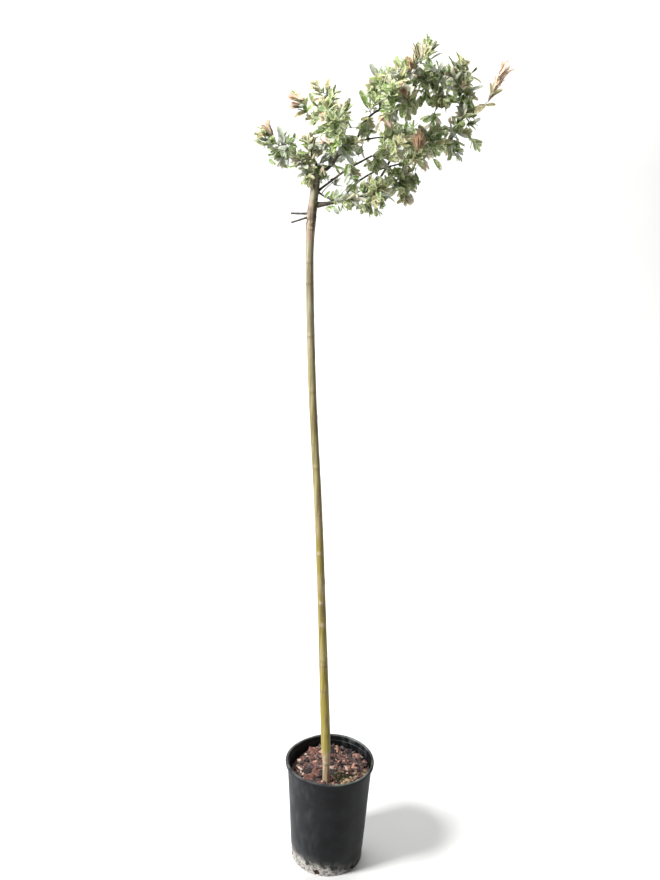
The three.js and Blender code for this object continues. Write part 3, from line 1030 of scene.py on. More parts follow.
# %% Bough bark
def twig_bark_finish(name, dark, light, warm):
    """Thin, dry bark of young wood: matt, with fine streaks and warmer patches."""
    material, tree, shader, place = new_material(name, 0.75)
    streaks = mottle(tree, place, 5, 0.35, 0.65, detail=5)
    patches = mottle(tree, place, 18, 0.4, 0.65)
    colour = coat(tree, dark, streaks, light)
    colour = coat(tree, colour, patches, warm, 0.5)
    cover(tree, shader, colour, streaks, 0.3)
    return material


bough_finish = twig_bark_finish("grey_brown_bough_bark", "#1f1d14", "#48432f", "#39331f")
finish_piece(boughs, "bough_bark", [bough_finish], live_boughs)
dead_finish = twig_bark_finish("weathered_dead_wood", "#3d3934", "#6b655c", "#4d4740")
finish_piece(stubs, "dead_stubs", [dead_finish], list(STUBS))

# %% [markdown]
# ## The rule by which the crown grows
#
# The masses of leaves in the frame say where the crown is. The rule that fills them is seeded, so
# it grows the same plant each time:
#
# 1. Of all masses that carry nothing yet, the one nearest to any living wood grows next. A
#    carrying twig leaves that wood, bends through the middle of the mass and ends near its far
#    side, turned a little to the light.
# 2. Side shoots leave the carrying twig at the golden angle round it, each as long as the mass
#    has room, up to 42 mm, and so the sky shows wherever there is no mass.
# 3. Pairs of leaves stand opposite each other along every shoot, each pair a quarter turn from
#    the last, and narrower leaves, often paler, crowd at its tip.
#
# The mass at the tip of the long shoot on the right is left out here: it is a single shoot, and
# is drawn leaf by leaf among the sprays further on.


# %% The masses as rooms to grow in
class Room:
    """One mass of the frame, which can say how far inside or outside a point lies."""

    def __init__(self, node):
        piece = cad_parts[node]
        self.name = node[len("mass_"):]
        self.points = vertex_array(piece)
        faces = [p.vertices[:] for p in piece.data.polygons]
        self.tree = BVHTree.FromPolygons(self.points.tolist(), faces)
        corners = self.points[np.array(faces)]
        area = np.linalg.norm(np.cross(corners[:, 1] - corners[:, 0],
                                       corners[:, 2] - corners[:, 0]), axis=1)
        self.centre = Vector((corners.mean(1) * area[:, None]).sum(0) / area.sum())
        spread = np.cov((corners.mean(1) - np.array(self.centre)).T, aweights=area)
        sizes, axes = np.linalg.eigh(spread)
        self.long_axis = Vector(axes[:, 2])
        self.slim = sizes[2] > 3.2 * sizes[1]
        size = self.points.max(0) - self.points.min(0)
        self.volume = float(np.prod(size)) * 0.5

    def outside(self, point):
        """Distance from the mass's surface, less than 0 inside."""
        place, normal, _, distance = self.tree.find_nearest(point)
        return distance if (Vector(point) - place).dot(normal) > 0 else -distance

    def room_towards(self, start, direction):
        """Free length from a point to the mass's surface."""
        _, _, _, distance = self.tree.ray_cast(start, direction)
        return distance or 0.0


rooms = [Room(node) for node in sorted(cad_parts)
         if node.startswith("mass_") and node != "mass_tip_shoot"]
print("masses:", len(rooms), "slim ones:", [room.name for room in rooms if room.slim])

# %% Twigs and shoots
LEAF_LENGTH = 24.5 * MM
LONGEST_SIDE_SHOOT = 42 * MM
INTERNODE = 7.2 * MM
UP = Vector((0, 0, 1))
GOLDEN_ANGLE = math.radians(137.5)
growth = random.Random(2024)


class Shoot:
    """A twig or shoot: its line, its radii, the mass it fills and whether it carries others."""

    def __init__(self, points, foot_radius, tip_radius, room=None, carries=False):
        self.points = points
        self.radii = [foot_radius + (tip_radius - foot_radius) * i / (len(points) - 1)
                      for i in range(len(points))]
        self.room = room
        self.carries = carries

    def direction(self, i):
        before, after = self.points[max(i - 1, 0)], self.points[min(i + 1, len(self.points) - 1)]
        return (after - before).normalized()


def shake(amount):
    """A small random step."""
    return Vector([growth.uniform(-amount, amount) for _ in range(3)])


def sideways(way, turn):
    """A direction square to way, turned round it by turn."""
    across = way.orthogonal().normalized()
    across.rotate(Matrix.Rotation(turn, 3, way))
    return across


def bend_between(start, way, middle, end, step=4 * MM):
    """A smooth line that leaves start in the direction way and passes near middle to end."""
    reach = (middle - start).length
    second = start + way * reach * 0.45
    count = max(4, int(((middle - start).length + (end - middle).length) / step))
    line = []
    for i in range(count + 1):
        t = i / count
        s = 1 - t
        line.append(s ** 3 * start + 3 * s * s * t * second + 3 * s * t * t * middle + t ** 3 * end)
    return line


def wobble(line, amount):
    """Shakes the inner points of a line a little, as growth from bud to bud does."""
    for i in range(1, len(line) - 1):
        line[i] = line[i] + shake(amount)
    return line


def living_wood():
    """Points where a twig can leave a limb, with the limb's direction and radius there."""
    wood = []
    for name, (line, radii) in limbs.items():
        if name in STUBS:
            continue
        first = int(len(line) * (0.93 if name == "trunk" else 0.3))
        for i in range(first, len(line), 3):
            way = Vector(line[min(i + 3, len(line) - 1)] - line[i - 3]).normalized()
            wood.append((Vector(line[i]), way, float(radii[i])))
    return wood


def carrying_twig(room, source):
    """The twig from living wood through the middle of a mass to near its far side."""
    start, way, wood_radius = source
    outwards = (room.centre - start).normalized()
    light = outwards + UP * 0.12 + shake(0.3)
    if room.slim:
        light = room.long_axis if room.long_axis.dot(outwards + UP) > 0 else -room.long_axis
    light.normalize()
    reach = room.room_towards(room.centre, light)
    end = room.centre + light * max(reach - (4 if room.slim else 9) * MM, reach * 0.4)
    leave = (way + outwards).normalized()
    line = wobble(bend_between(start, leave, room.centre, end), 0.5 * MM)
    foot_radius = min(wood_radius * 0.8, 1.3 * MM)
    return Shoot(line, max(foot_radius, 0.8 * MM), 0.5 * MM, room, True)


def side_shoots(room, twig):
    """Shoots round the carrying twig, as many as the mass has room for."""
    inside = [i for i in range(1, len(twig.points) - 1) if room.outside(twig.points[i]) < -2 * MM]
    if not inside:
        return []
    count = max(2, round(room.volume / (20 * MM) ** 3 / 2.0))
    turn = growth.uniform(0, 2 * math.pi)
    shoots = []
    for k in range(count):
        share = (k + growth.random()) / count
        i = inside[int(share * len(inside))]
        start, way = twig.points[i], twig.direction(i)
        turn += GOLDEN_ANGLE
        across = sideways(way, turn)
        lean = math.radians(growth.uniform(62, 80) - 30 * share)
        aim = (way * math.cos(lean) + across * math.sin(lean) + UP * 0.05).normalized()
        reach = room.room_towards(start, aim) - 7 * MM
        if reach < 4 * MM:
            continue
        reach = min(reach, LONGEST_SIDE_SHOOT)
        end = start + aim * reach + UP * reach * growth.uniform(-0.1, 0.15)
        middle = start + aim * reach * 0.6
        line = wobble(bend_between(start, aim, middle, end, 3.5 * MM), 0.25 * MM)
        shoots.append(Shoot(line, 0.7 * MM, 0.4 * MM, room, False))
    return shoots


# %% Grow the crown
def grow_crown(wood):
    """All shoots, in the order in which the masses are reached; they add to the wood."""
    waiting, shoots = list(rooms), []
    while waiting:
        best = None
        for room in waiting:
            for source in wood:
                gap = (source[0] - room.centre).length + max(0, room.outside(source[0]))
                if best is None or gap < best[0]:
                    best = (gap, room, source)
        _, room, source = best
        waiting.remove(room)
        twig = carrying_twig(room, source)
        grown = [twig] + side_shoots(room, twig)
        shoots += grown
        for shoot in grown:
            for i in range(1, len(shoot.points)):
                wood.append((shoot.points[i], shoot.direction(i), shoot.radii[i]))
    return shoots


wood = living_wood()
shoots = grow_crown(wood)
print("twigs:", sum(s.carries for s in shoots), "shoots:", sum(not s.carries for s in shoots))

# %% [markdown]
# ## Leaves
#
# The leaf is a narrow oblong with a blunt tip, most often 13 to 27 mm long, folded a little along
# its midrib and curled back towards its end. It is modelled once, 1 unit long, from a grid: each row
# of vertices is scaled to the leaf's outline, and Solidify gives it an upper and an under side,
# each with its own finish. Every copy then gets its own length, fold and curl.

# %% Model a leaf
# The outline: how far along the leaf each row lies, and how wide it is there.
LEAF_ROWS = (0, 0.06, 0.2, 0.4, 0.62, 0.82, 0.94, 1)
LEAF_WIDTHS = (0.16, 0.46, 0.8, 0.97, 1, 0.88, 0.6, 0.22)
UPPER, UNDER = 0, 1
# The leaf that is 1 unit long is this thick, and a unit of its thickness becomes this many mm.
UNIT_THICKNESS = 0.02
UNIT_IN_MM = 18


def model_leaf():
    rows = len(LEAF_ROWS) - 1
    clear_selection()
    bpy.ops.mesh.primitive_grid_add(x_subdivisions=4, y_subdivisions=rows, size=1,
                                    location=(0, 0.5, 0))
    leaf = bpy.context.object
    bpy.ops.object.transform_apply(location=True)
    for row in range(rows + 1):
        even = row / rows
        pick_vertices(leaf, lambda co: abs(co.y - even) < 0.01)
        bpy.ops.transform.resize(value=(LEAF_WIDTHS[row], 1, 1), center_override=(0, even, 0))
    bpy.ops.object.mode_set(mode="OBJECT")
    places = vertex_array(leaf)
    places[:, 1] = np.interp(places[:, 1], np.linspace(0, 1, rows + 1), LEAF_ROWS)
    put_vertices(leaf, places)
    add_modifier(leaf, "SOLIDIFY", thickness=UNIT_THICKNESS, offset=0, material_offset=UNDER)
    facing_up = np.array([p.normal.z for p in leaf.data.polygons])
    sides = np.where(facing_up < -0.5, UNDER, UPPER)
    return *take_shape(leaf), sides


leaf_points, leaf_faces, leaf_sides = model_leaf()
print("faces of a leaf:", len(leaf_faces), "of its under side:", int((leaf_sides == UNDER).sum()))

# %% [markdown]
# A leaf is tried at its natural angle and size first. Where it would stand out of its mass by more
# than a few millimetres, it is turned closer to the shoot and then made smaller, and where nothing
# fits it is left out. That keeps the gaps between the sprays open.

# %% Set the leaves
# How far a leaf may stand out of its mass.
PROUD = 8 * MM
CROWN_MIDDLE = Vector((40, 10, 1515)) * MM
SUNNY_SIDE = Vector((-0.5, -0.35, 0.7)).normalized()
FRONT = Vector((0, -1, 0))
# Masses beside open sky, whose leaves keep inside by this much more.
HELD_BACK = {
    "centre_left_top": 9 * MM, "upper_left_tip": 8 * MM, "right_side": 4 * MM,
    "centre_top": 6 * MM, "far_leaf": 7 * MM, "crest_shoot": 4 * MM,
    "left_tip": 7 * MM, "left_middle": 3 * MM, "lower_left": 4 * MM,
}


def facing_light(point):
    """The way a leaf's upper side turns: outwards from the crown, up and to the sunny side."""
    outwards = (point - CROWN_MIDDLE).normalized()
    outwards.z *= 0.3
    return outwards * 0.7 + UP * 0.4 + SUNNY_SIDE * 0.5


class Leaf:
    """One leaf: its foot, its direction, the way its upper side faces, its size and its tint."""

    def __init__(self, foot, way, face, length, width, tint):
        self.foot = foot
        self.way = way
        self.side = way.cross(face).normalized()
        self.face = self.side.cross(way)
        self.length = length
        self.width = width
        self.tint = tint


def fit_leaf(room, foot, way, across, angle, length, slenderness, tint):
    """The leaf as it can stand inside its mass, or None."""
    proud = PROUD - HELD_BACK.get(room.name, 0)
    for turn_in, shrink in ((1, 1), (0.65, 1), (0.65, 0.82), (0.35, 0.82), (0.3, 0.65)):
        lean = angle * turn_in
        direction = (way * math.cos(lean) + across * math.sin(lean)).normalized()
        tip = foot + direction * length * shrink
        if room.outside(tip) < proud and room.outside(foot) < proud:
            face = way * math.sin(lean) - across * math.cos(lean) + facing_light(tip) * 0.9
            size = length * shrink
            return Leaf(foot, direction, face.normalized(), size, size * slenderness, tint)
    return None


PEACH_MASSES = ("upper_left_tip", "pink_pair")
CREAM_MASSES = ("crest_shoot", "leader_top", "upper_left_crest", "hanging", "arch_right",
                "low_centre", "centre_top")


def tip_tint(room):
    """The tint of a shoot's young leaves, by where in the crown it is."""
    if room.name in PEACH_MASSES:
        return growth.choices(("peach", "cream"), (0.75, 0.25))[0]
    if room.name in CREAM_MASSES:
        return growth.choices(("cream", "lime", "peach", "mid"), (0.34, 0.22, 0.04, 0.40))[0]
    return growth.choices(("cream", "lime", "peach", "mid"), (0.15, 0.18, 0.03, 0.64))[0]


# How often the older leaves are deep, mid, grey and lime green, by where in the crown they are.
GREEN_MASSES = ("upper_left_heart", "middle_left", "centre", "centre_right", "centre_low",
                "lower_right", "low_centre", "centre_left_top", "front_top", "front_left")
GREY_MASSES = ("left_tip", "left_middle", "lower_left", "stem_side")
GREENS = {"green": (0.56, 0.34, 0.05, 0.05), "grey": (0.32, 0.28, 0.36, 0.04),
          "mixed": (0.40, 0.34, 0.20, 0.06)}


def leaf_tint(room, share, young):
    """The tint of a leaf at a share of its shoot's length: green below, the tip's tint above."""
    if share > 0.8 or (share > 0.55 and growth.random() < 0.4):
        return young
    name = room.name
    greens = "green" if name in GREEN_MASSES else "grey" if name in GREY_MASSES else "mixed"
    return growth.choices(("deep", "mid", "grey", "lime"), GREENS[greens])[0]


def leaves_of(shoot):
    """Opposite pairs along a shoot and a tuft at its tip."""
    room, young = shoot.room, tip_tint(shoot.room)
    lengths = [0.0]
    for a, b in zip(shoot.points, shoot.points[1:]):
        lengths.append(lengths[-1] + (b - a).length)
    total, leaves = lengths[-1], []
    turn, at = growth.uniform(0, 2 * math.pi), 4 * MM
    while at < total:
        i = max(j for j, length in enumerate(lengths) if length <= at)
        share = at / total
        foot, way = shoot.points[min(i, len(shoot.points) - 1)], shoot.direction(i)
        size = LEAF_LENGTH * growth.uniform(0.75, 1.2) * (1 - 0.2 * share ** 3)
        angle = math.radians(growth.uniform(52, 72) - 18 * share)
        for opposite in (0, math.pi):
            across = sideways(way, turn + opposite + growth.uniform(-0.3, 0.3))
            leaf = fit_leaf(room, foot, way, across, angle, size * growth.uniform(0.9, 1.1),
                            growth.uniform(0.37, 0.47), leaf_tint(room, share, young))
            leaves.append(leaf)
        turn += math.pi / 2 + growth.uniform(-0.25, 0.25)
        at += INTERNODE * growth.uniform(0.85, 1.2)
    foot, way = shoot.points[-1], shoot.direction(len(shoot.points) - 1)
    for k in range(5):
        across = sideways(way, k * GOLDEN_ANGLE)
        angle = math.radians(growth.uniform(8, 30))
        size = LEAF_LENGTH * growth.uniform(0.7, 1.0)
        leaves.append(fit_leaf(room, foot, way, across, angle, size,
                               growth.uniform(0.22, 0.3), young))
    return [leaf for leaf in leaves if leaf]


leaves = [leaf for shoot in shoots for leaf in leaves_of(shoot)]
print("leaves:", len(leaves))

# %% [markdown]
# What gives this plant its own face are the sprays that stand out of the masses: bundles of
# narrow new leaves at the shoot tips, cream, peach or tan, single leaves that hang below, and
# small shaded leaves among the bare boughs. Each is given by where it begins and ends as seen
# from the camera, in millimetres across and up. The rule finds the wood nearest to its beginning,
# which also gives its depth, and lets a shoot grow from there.

# %% The sprays
SPRAY_KINDS = {
    # leaves, their width as a share of their length, degrees of fan, longest leaf in mm
    "tuft": (8, 0.25, 14, 30),
    "flag": (9, 0.27, 15, 30),
    "pair": (2, 0.42, 34, 24),
    "leaf": (1, 0.44, 5, 26),
    "fan": (5, 0.40, 42, 22),
    "wisp": (2, 0.26, 26, 20),
    "big": (1, 0.5, 4, 34),
    "bare": (0, 0.0, 0, 0),
}

# One row for each spray: its kind and tint, then where it begins and where it ends, each across
# and up.
SPRAYS = """
# left arm
tuft tan -142 1512 -163 1541; fan olive -152 1514 -180 1521; leaf grey -156 1506 -178 1504
pair grey -136 1506 -132 1532; pair deep -126 1502 -102 1504; wisp deep -122 1500 -112 1514
wisp deep -112 1500 -101 1518; fan grey -130 1496 -116 1514; fan olive -88 1474 -108 1486
fan deep -120 1468 -138 1462; fan mid -100 1478 -118 1498; pair grey -128 1500 -128 1530
fan mid -92 1470 -110 1492; fan olive -84 1470 -92 1490; leaf deep -132 1492 -150 1487
fan grey -125 1482 -136 1460; leaf deep -138 1462 -155 1473; leaf deep -132 1464 -116 1461
fan deep -128 1498 -122 1478; fan grey -118 1494 -136 1482; fan olive -100 1470 -112 1478
fan lime -96 1468 -108 1464
# beside and above the graft
tuft cream -76 1496 -91 1518; pair olive -75 1496 -70 1516; fan lime -76 1486 -82 1506
leaf deep -80 1500 -96 1501; fan lime -72 1470 -80 1490; leaf cream -66 1476 -65 1500
fan olive -76 1464 -88 1476; fan mid -80 1458 -96 1452; fan grey -78 1454 -92 1444
leaf deep -78 1442 -93 1435; leaf olive -76 1452 -75 1424; pair mid -72 1450 -84 1432
fan grey -58 1468 -46 1484; wisp grey -52 1464 -47 1438; wisp tan -54 1468 -56 1446
pair deep -52 1408 -38 1416; fan deep -42 1402 -24 1416; fan grey -30 1404 -14 1426
leaf grey -36 1396 -24 1384; wisp deep -18 1400 -16 1388; wisp mid -4 1400 -4 1386
pair deep -50 1392 -34 1388
# between the boughs
wisp deep -38 1468 -18 1455; fan grey -14 1494 -12 1468; fan deep -10 1474 -6 1450
fan grey -6 1458 -4 1432; pair deep -4 1448 10 1443; fan grey -24 1504 -14 1486
fan olive -62 1478 -58 1504; pair cream -54 1484 -48 1506; fan grey -48 1502 -62 1490
fan deep -54 1440 -44 1456; pair grey -58 1450 -60 1432; fan grey -34 1430 -20 1440
wisp grey 2 1492 14 1484; wisp deep 6 1484 16 1496; pair deep 32 1476 22 1462
fan grey 6 1408 -8 1424; bare deep -50 1432 -20 1452; bare deep -24 1415 8 1446
bare deep -36 1470 -16 1456; bare deep -62 1440 -40 1474; bare deep -62 1454 -45 1463
bare deep -60 1446 -51 1458; bare deep -54 1456 -50 1438; bare deep -57 1416 -34 1408
bare deep -58 1422 -30 1442; fan mid 4 1414 14 1432; fan deep 2 1436 -8 1416
fan grey -44 1480 -30 1462; fan deep -66 1468 -52 1450; fan grey 16 1498 2 1480
# upper left
tuft peach -96 1572 -123 1586; tuft tan -90 1563 -119 1566; leaf olive -84 1557 -108 1550
leaf olive -90 1568 -97 1586; pair mid -74 1568 -79 1588; tuft cream -60 1592 -82 1606
pair lime -62 1588 -74 1596; leaf olive -50 1590 -54 1614; pair mid -48 1578 -42 1599
leaf deep -44 1576 -28 1594; fan mid -46 1572 -36 1594; pair mid -18 1554 -8 1578
leaf grey -14 1562 -12 1584; bare deep -15 1537 5 1533; leaf grey -40 1582 -32 1593
leaf grey -20 1568 -18 1596; leaf mid -20 1556 -12 1577; pair cream -29 1556 -30 1577
fan mid -50 1560 -46 1582; flag orange -56 1532 -58 1554; tuft cream -30 1536 -26 1558
pair deep -14 1550 -12 1528; fan mid -60 1540 -76 1552; fan mid -56 1528 -72 1534
fan deep 4 1520 24 1534; fan mid -20 1508 4 1506; fan deep -24 1500 10 1502
# centre left
leaf grey 34 1616 21 1640; wisp grey 34 1618 47 1636; fan olive 38 1590 34 1618
pair deep 42 1592 48 1616; pair tan 34 1598 18 1608; leaf olive 32 1596 14 1598
leaf deep 22 1566 9 1593; pair deep 22 1564 14 1578; pair grey 24 1560 9 1560
fan lime 24 1552 20 1532; fan mid 28 1562 36 1584; fan deep 40 1566 52 1580
pair grey 30 1556 44 1566; fan mid 56 1530 40 1544; pair cream 48 1548 40 1524
fan lime 60 1520 44 1530; pair tan 46 1552 50 1528; fan grey 64 1516 46 1518
fan mid 60 1540 48 1520; fan lime 66 1534 52 1512; fan mid 34 1572 40 1594
# centre
wisp tan 69 1620 68 1647; wisp tan 72 1620 76 1646; flag orange 93 1622 91 1656
leaf deep 89 1628 86 1653; leaf olive 99 1628 104 1652; pair deep 98 1640 104 1660
fan deep 104 1616 112 1632; fan grey 100 1624 112 1634; pair deep 114 1592 112 1570
pair mid 106 1584 112 1562; fan deep 104 1528 98 1548; leaf grey 100 1534 112 1542
pair lime 88 1556 92 1546; leaf deep 88 1612 60 1622; leaf mid 92 1616 106 1608
flag orange 86 1584 74 1612; tuft cream 92 1580 96 1606; fan cream 88 1572 86 1594
big mid 86 1584 83 1551; fan olive 104 1604 100 1630; fan cream 110 1612 108 1636
fan deep 98 1598 112 1616; fan lime 100 1584 104 1604; pair mid 90 1566 98 1546
fan grey 22 1544 34 1528; fan mid 34 1530 22 1520; pair deep 26 1592 20 1574
pair deep 98 1588 102 1566; leaf deep 56 1590 68 1566; wisp deep 54 1586 62 1592
tuft peach 50 1566 51 1538; wisp tan 58 1562 60 1540; wisp grey 66 1564 70 1544
# crest
tuft cream 104 1650 101 1676; tuft olive 111 1646 107 1674; tuft cream 112 1652 115 1677
tuft lime 116 1652 124 1673; leaf grey 120 1656 141 1660; leaf deep 124 1666 120 1689
pair grey 126 1666 134 1686; fan deep 104 1640 112 1654; pair grey 108 1640 118 1648
# right top
pair deep 170 1634 169 1659; fan lime 176 1638 184 1664; pair grey 180 1618 178 1640
pair grey 188 1616 192 1638; wisp deep 142 1634 144 1650; fan deep 150 1626 152 1645
fan olive 150 1620 146 1638; fan deep 160 1612 168 1632; leaf grey 198 1600 223 1606
leaf olive 196 1602 214 1603; pair peach 188 1598 190 1614; pair olive 196 1588 214 1592
fan olive 194 1586 212 1580; fan mid 188 1596 207 1592; fan deep 190 1594 184 1572
fan deep 196 1590 200 1568; tuft cream 150 1606 152 1576; pair tan 144 1596 138 1578
fan deep 120 1612 124 1572; pair deep 158 1598 166 1584; fan lime 146 1586 142 1568
fan olive 152 1590 158 1570; fan deep 160 1590 168 1570; pair lime 152 1584 164 1566
fan mid 150 1528 158 1546
# right side and ring
fan cream 196 1554 178 1567; fan mid 200 1552 208 1573; pair grey 206 1546 223 1550
fan deep 196 1544 214 1540; pair deep 198 1542 198 1520; fan mid 206 1560 216 1556
pair deep 172 1522 192 1500; pair deep 168 1508 182 1494; pair grey 180 1496 195 1481
leaf deep 140 1486 158 1467; pair mid 138 1502 152 1486; fan cream 130 1498 134 1478
fan mid 88 1478 96 1462; fan lime 196 1560 206 1580; pair grey 204 1558 216 1566
wisp tan 126 1480 135 1463; pair deep 110 1462 120 1439; fan lime 112 1488 112 1466
tuft orange 114 1496 112 1532; tuft orange 116 1490 118 1520; wisp tan 118 1502 129 1514
fan cream 106 1494 104 1476
# lower right
fan deep 98 1448 110 1426; fan mid 92 1450 104 1444; fan lime 90 1440 94 1414
leaf olive 98 1414 82 1405; fan cream 98 1416 104 1400; leaf peach 100 1412 111 1404
fan lime 94 1424 100 1404; pair cream 104 1424 110 1406; leaf mid 212 1514 229 1500
pair grey 60 1414 82 1419; wisp deep 62 1424 84 1432; big mid 50 1404 48 1446
fan deep 10 1406 2 1390; fan mid 32 1404 26 1386; fan deep 52 1404 58 1392
fan mid 66 1430 76 1420; pair deep 100 1436 112 1430; leaf mid 44 1408 36 1444
pair deep 36 1404 32 1377; pair deep 28 1402 14 1388; fan deep 32 1400 27 1382
leaf deep 44 1400 46 1379; wisp grey 46 1392 56 1381; fan grey 24 1416 20 1440
fan mid 58 1436 70 1450; fan mid 70 1452 76 1468; fan deep 62 1450 72 1466
pair lime 56 1456 66 1462; fan mid 98 1456 106 1470; pair mid 20 1404 16 1388
pair mid 46 1404 42 1390; wisp deep -26 1398 -20 1386; fan lime 84 1420 92 1408
fan olive 36 1462 30 1480; fan mid 74 1466 78 1448
# the long shoot on the right
bare tan 210 1566 234 1584; bare tan 235 1586 250 1612; pair olive 232 1578 212 1570
leaf olive 228 1577 246 1580; leaf olive 238 1592 258 1604; tuft tan 232 1584 246 1608
pair cream 236 1590 246 1614; pair lime 240 1594 252 1616; tuft peach 240 1600 252 1630
tuft peach 248 1612 260 1642; tuft peach 246 1622 263 1650; pair peach 246 1620 260 1648
"""


def read_sprays(table):
    """Kind, tint and the four places of each spray, in the order of the table."""
    rows = []
    for line in table.splitlines():
        if line and not line.startswith("#"):
            for kind, tint, *places in (row.split() for row in line.split(";")):
                rows.append((kind, tint, *[int(place) for place in places]))
    return rows


def seen_from_camera(point):
    """Where a point is seen in the plane through the plant's axis, across and up."""
    scale = -EYE.y / (point.y - EYE.y)
    return EYE + (point - EYE) * scale


def place_at_depth(across, up, depth):
    """The place at a depth that is seen at across and up, in millimetres."""
    return EYE + (Vector((across, 0, up)) * MM - EYE) * (depth - EYE.y) / -EYE.y


def grow_spray(kind, tint, across, up, end_across, end_up):
    """The shoot of one spray, and its leaves."""
    count, slenderness, fan, longest = SPRAY_KINDS[kind]
    start_seen = Vector((across, 0, up)) * MM
    gaps = [(seen_from_camera(source[0]) - start_seen).length for source in wood]
    start, way, wood_radius = wood[gaps.index(min(gaps))]
    in_front = {"tuft": 7 * MM, "flag": 20 * MM}.get(kind, 2 * MM)
    depth = start.y - in_front + growth.uniform(-8, 8) * MM
    base = place_at_depth(across, up, depth)
    end = place_at_depth(end_across, end_up, depth + growth.uniform(-9, 9) * MM)
    span = end - base
    length = min(longest * MM, span.length * 0.95)
    tip = end - span.normalized() * length * 0.92
    leave = (base - start + way * 2 * MM + span * 0.1).normalized()
    line = bend_between(start, leave, base * 0.5 + (start + tip) * 0.25, tip, 3 * MM)
    thick = 1.4 if kind == "bare" else 1
    shoot = Shoot(line, min(wood_radius, 0.8 * thick * MM), 0.45 * thick * MM)
    aim = span.normalized()
    turn = growth.uniform(0, 2 * math.pi)
    leaves = []
    for k in range(count):
        round_about = turn + (math.pi * k if count == 2 else GOLDEN_ANGLE * k)
        across_way = sideways(aim, round_about)
        lean = math.radians(growth.uniform(0.5, 1.15) * fan)
        direction = aim * math.cos(lean) + across_way * math.sin(lean)
        face = aim * math.sin(lean) - across_way * math.cos(lean) + facing_light(end) * 1.3
        if count == 1:
            face = facing_light(end) + shake(0.4)
        face = face + FRONT * 0.8
        foot = line[max(0, len(line) - 1 - k // 2)]
        size = length * growth.uniform(0.8, 1.05)
        leaves.append(Leaf(foot, direction, face.normalized(), size,
                           size * slenderness * growth.uniform(0.9, 1.1), tint))
    return shoot, leaves


sprays = []
for row in read_sprays(SPRAYS):
    spray, spray_leaves = grow_spray(*row)
    sprays.append(spray)
    leaves += spray_leaves
    wood += [(spray.points[i], spray.direction(i), spray.radii[i])
             for i in range(1, len(spray.points))]
print("sprays:", len(sprays), "all leaves:", len(leaves))


# %% [markdown]
# The twigs are nearly 500 thin rods, so they are written as one table of points and faces: a
# ring of six points round each point of a line, and quads between the rings. The ends are closed
# by shrinking the last ring to almost nothing.

# %% Twigs
TWIG_SIDES = 6


def rod_arrays(line, radii):
    """Rings of points round a line and the quads between them, closed at both ends."""
    line = np.array([tuple(p) for p in line])
    along = unit(np.gradient(line, axis=0))
    line, along = (np.concatenate([part[:1], part, part[-1:]]) for part in (line, along))
    radii = np.concatenate([[1e-5], radii, [1e-5]])
    across = np.array(Vector(along[0]).orthogonal().normalized())
    rings = []
    for centre, way, radius in zip(line, along, radii):
        across = unit(across - way * (across @ way))
        other = np.cross(way, across)
        angles = 2 * math.pi * np.arange(TWIG_SIDES) / TWIG_SIDES
        rings.append(centre + radius * (np.cos(angles)[:, None] * across
                                        + np.sin(angles)[:, None] * other))
    ring_count = len(rings)
    here = (np.arange(ring_count - 1)[:, None] * TWIG_SIDES + np.arange(TWIG_SIDES)).ravel()
    beside = (here // TWIG_SIDES) * TWIG_SIDES + (here + 1) % TWIG_SIDES
    faces = np.stack([here, beside, beside + TWIG_SIDES, here + TWIG_SIDES], 1)
    return np.concatenate(rings), faces


rods = [rod_arrays(shoot.points, shoot.radii) for shoot in shoots + sprays]
twigs = mesh_from_arrays("twigs", *join_arrays(rods))
close_up(twigs)
bpy.ops.object.shade_smooth()
twig_finish = twig_bark_finish("young_twig_bark", "#3b3527", "#6b6245", "#6a523b")
finish_piece(twigs, "twigs", [twig_finish])


# %% Copy the leaf
def leaf_mesh(name, leaves):
    """All leaves of one tint as one mesh, each with its own fold and curl."""
    count = len(leaves)
    chance = np.random.default_rng(len(name) * 101)
    x, y, z = leaf_points.T
    length = np.array([leaf.length for leaf in leaves])[:, None]
    width = np.array([leaf.width for leaf in leaves])[:, None]
    fold = chance.uniform(0.15, 0.55, (count, 1))
    curl = chance.normal(0.10, 0.10, (count, 1))
    twist = chance.normal(0, 0.25, (count, 1))
    ripple = chance.uniform(-0.03, 0.03, (count, 1)) * np.sin(9 * y)
    across = x * width
    lift = np.abs(x) * width * fold - curl * length * y ** 2 + twist * across * y
    lift = lift + ripple * length * np.abs(x) * 2 + z * UNIT_IN_MM * MM
    local = np.stack([across, y * length, lift], 2)
    axes = np.array([[tuple(leaf.side), tuple(leaf.way), tuple(leaf.face)] for leaf in leaves])
    feet = np.array([tuple(leaf.foot) for leaf in leaves])
    places = np.einsum("nvk,nkc->nvc", local, axes) + feet[:, None]
    faces = (leaf_faces[None] + np.arange(count)[:, None, None] * len(leaf_points))
    piece = mesh_from_arrays(name, places.reshape(-1, 3), faces.reshape(-1, leaf_faces.shape[1]),
                             np.tile(leaf_sides, count))
    to_margin = 2 * np.abs(x) / np.interp(y, LEAF_ROWS, LEAF_WIDTHS)
    store_values(piece, "to_margin", np.tile(to_margin, count))
    return piece


# %% [markdown]
# Willow leaves are matt above, with a thin wax, and paler and downy below. They are so thin that
# light comes through them, which is why the shaded leaves of the crown glow a little. The tints
# are plain colours, dealt out shoot by shoot to the young leaves and spray by spray, and one by
# one to the older green leaves. This kind is variegated, so cream flecks a few
# millimetres wide are dappled over the green ones, and long stretches of their margins are cream:
# the mesh stores how far each vertex lies from the midrib, 0, to the margin, 1.


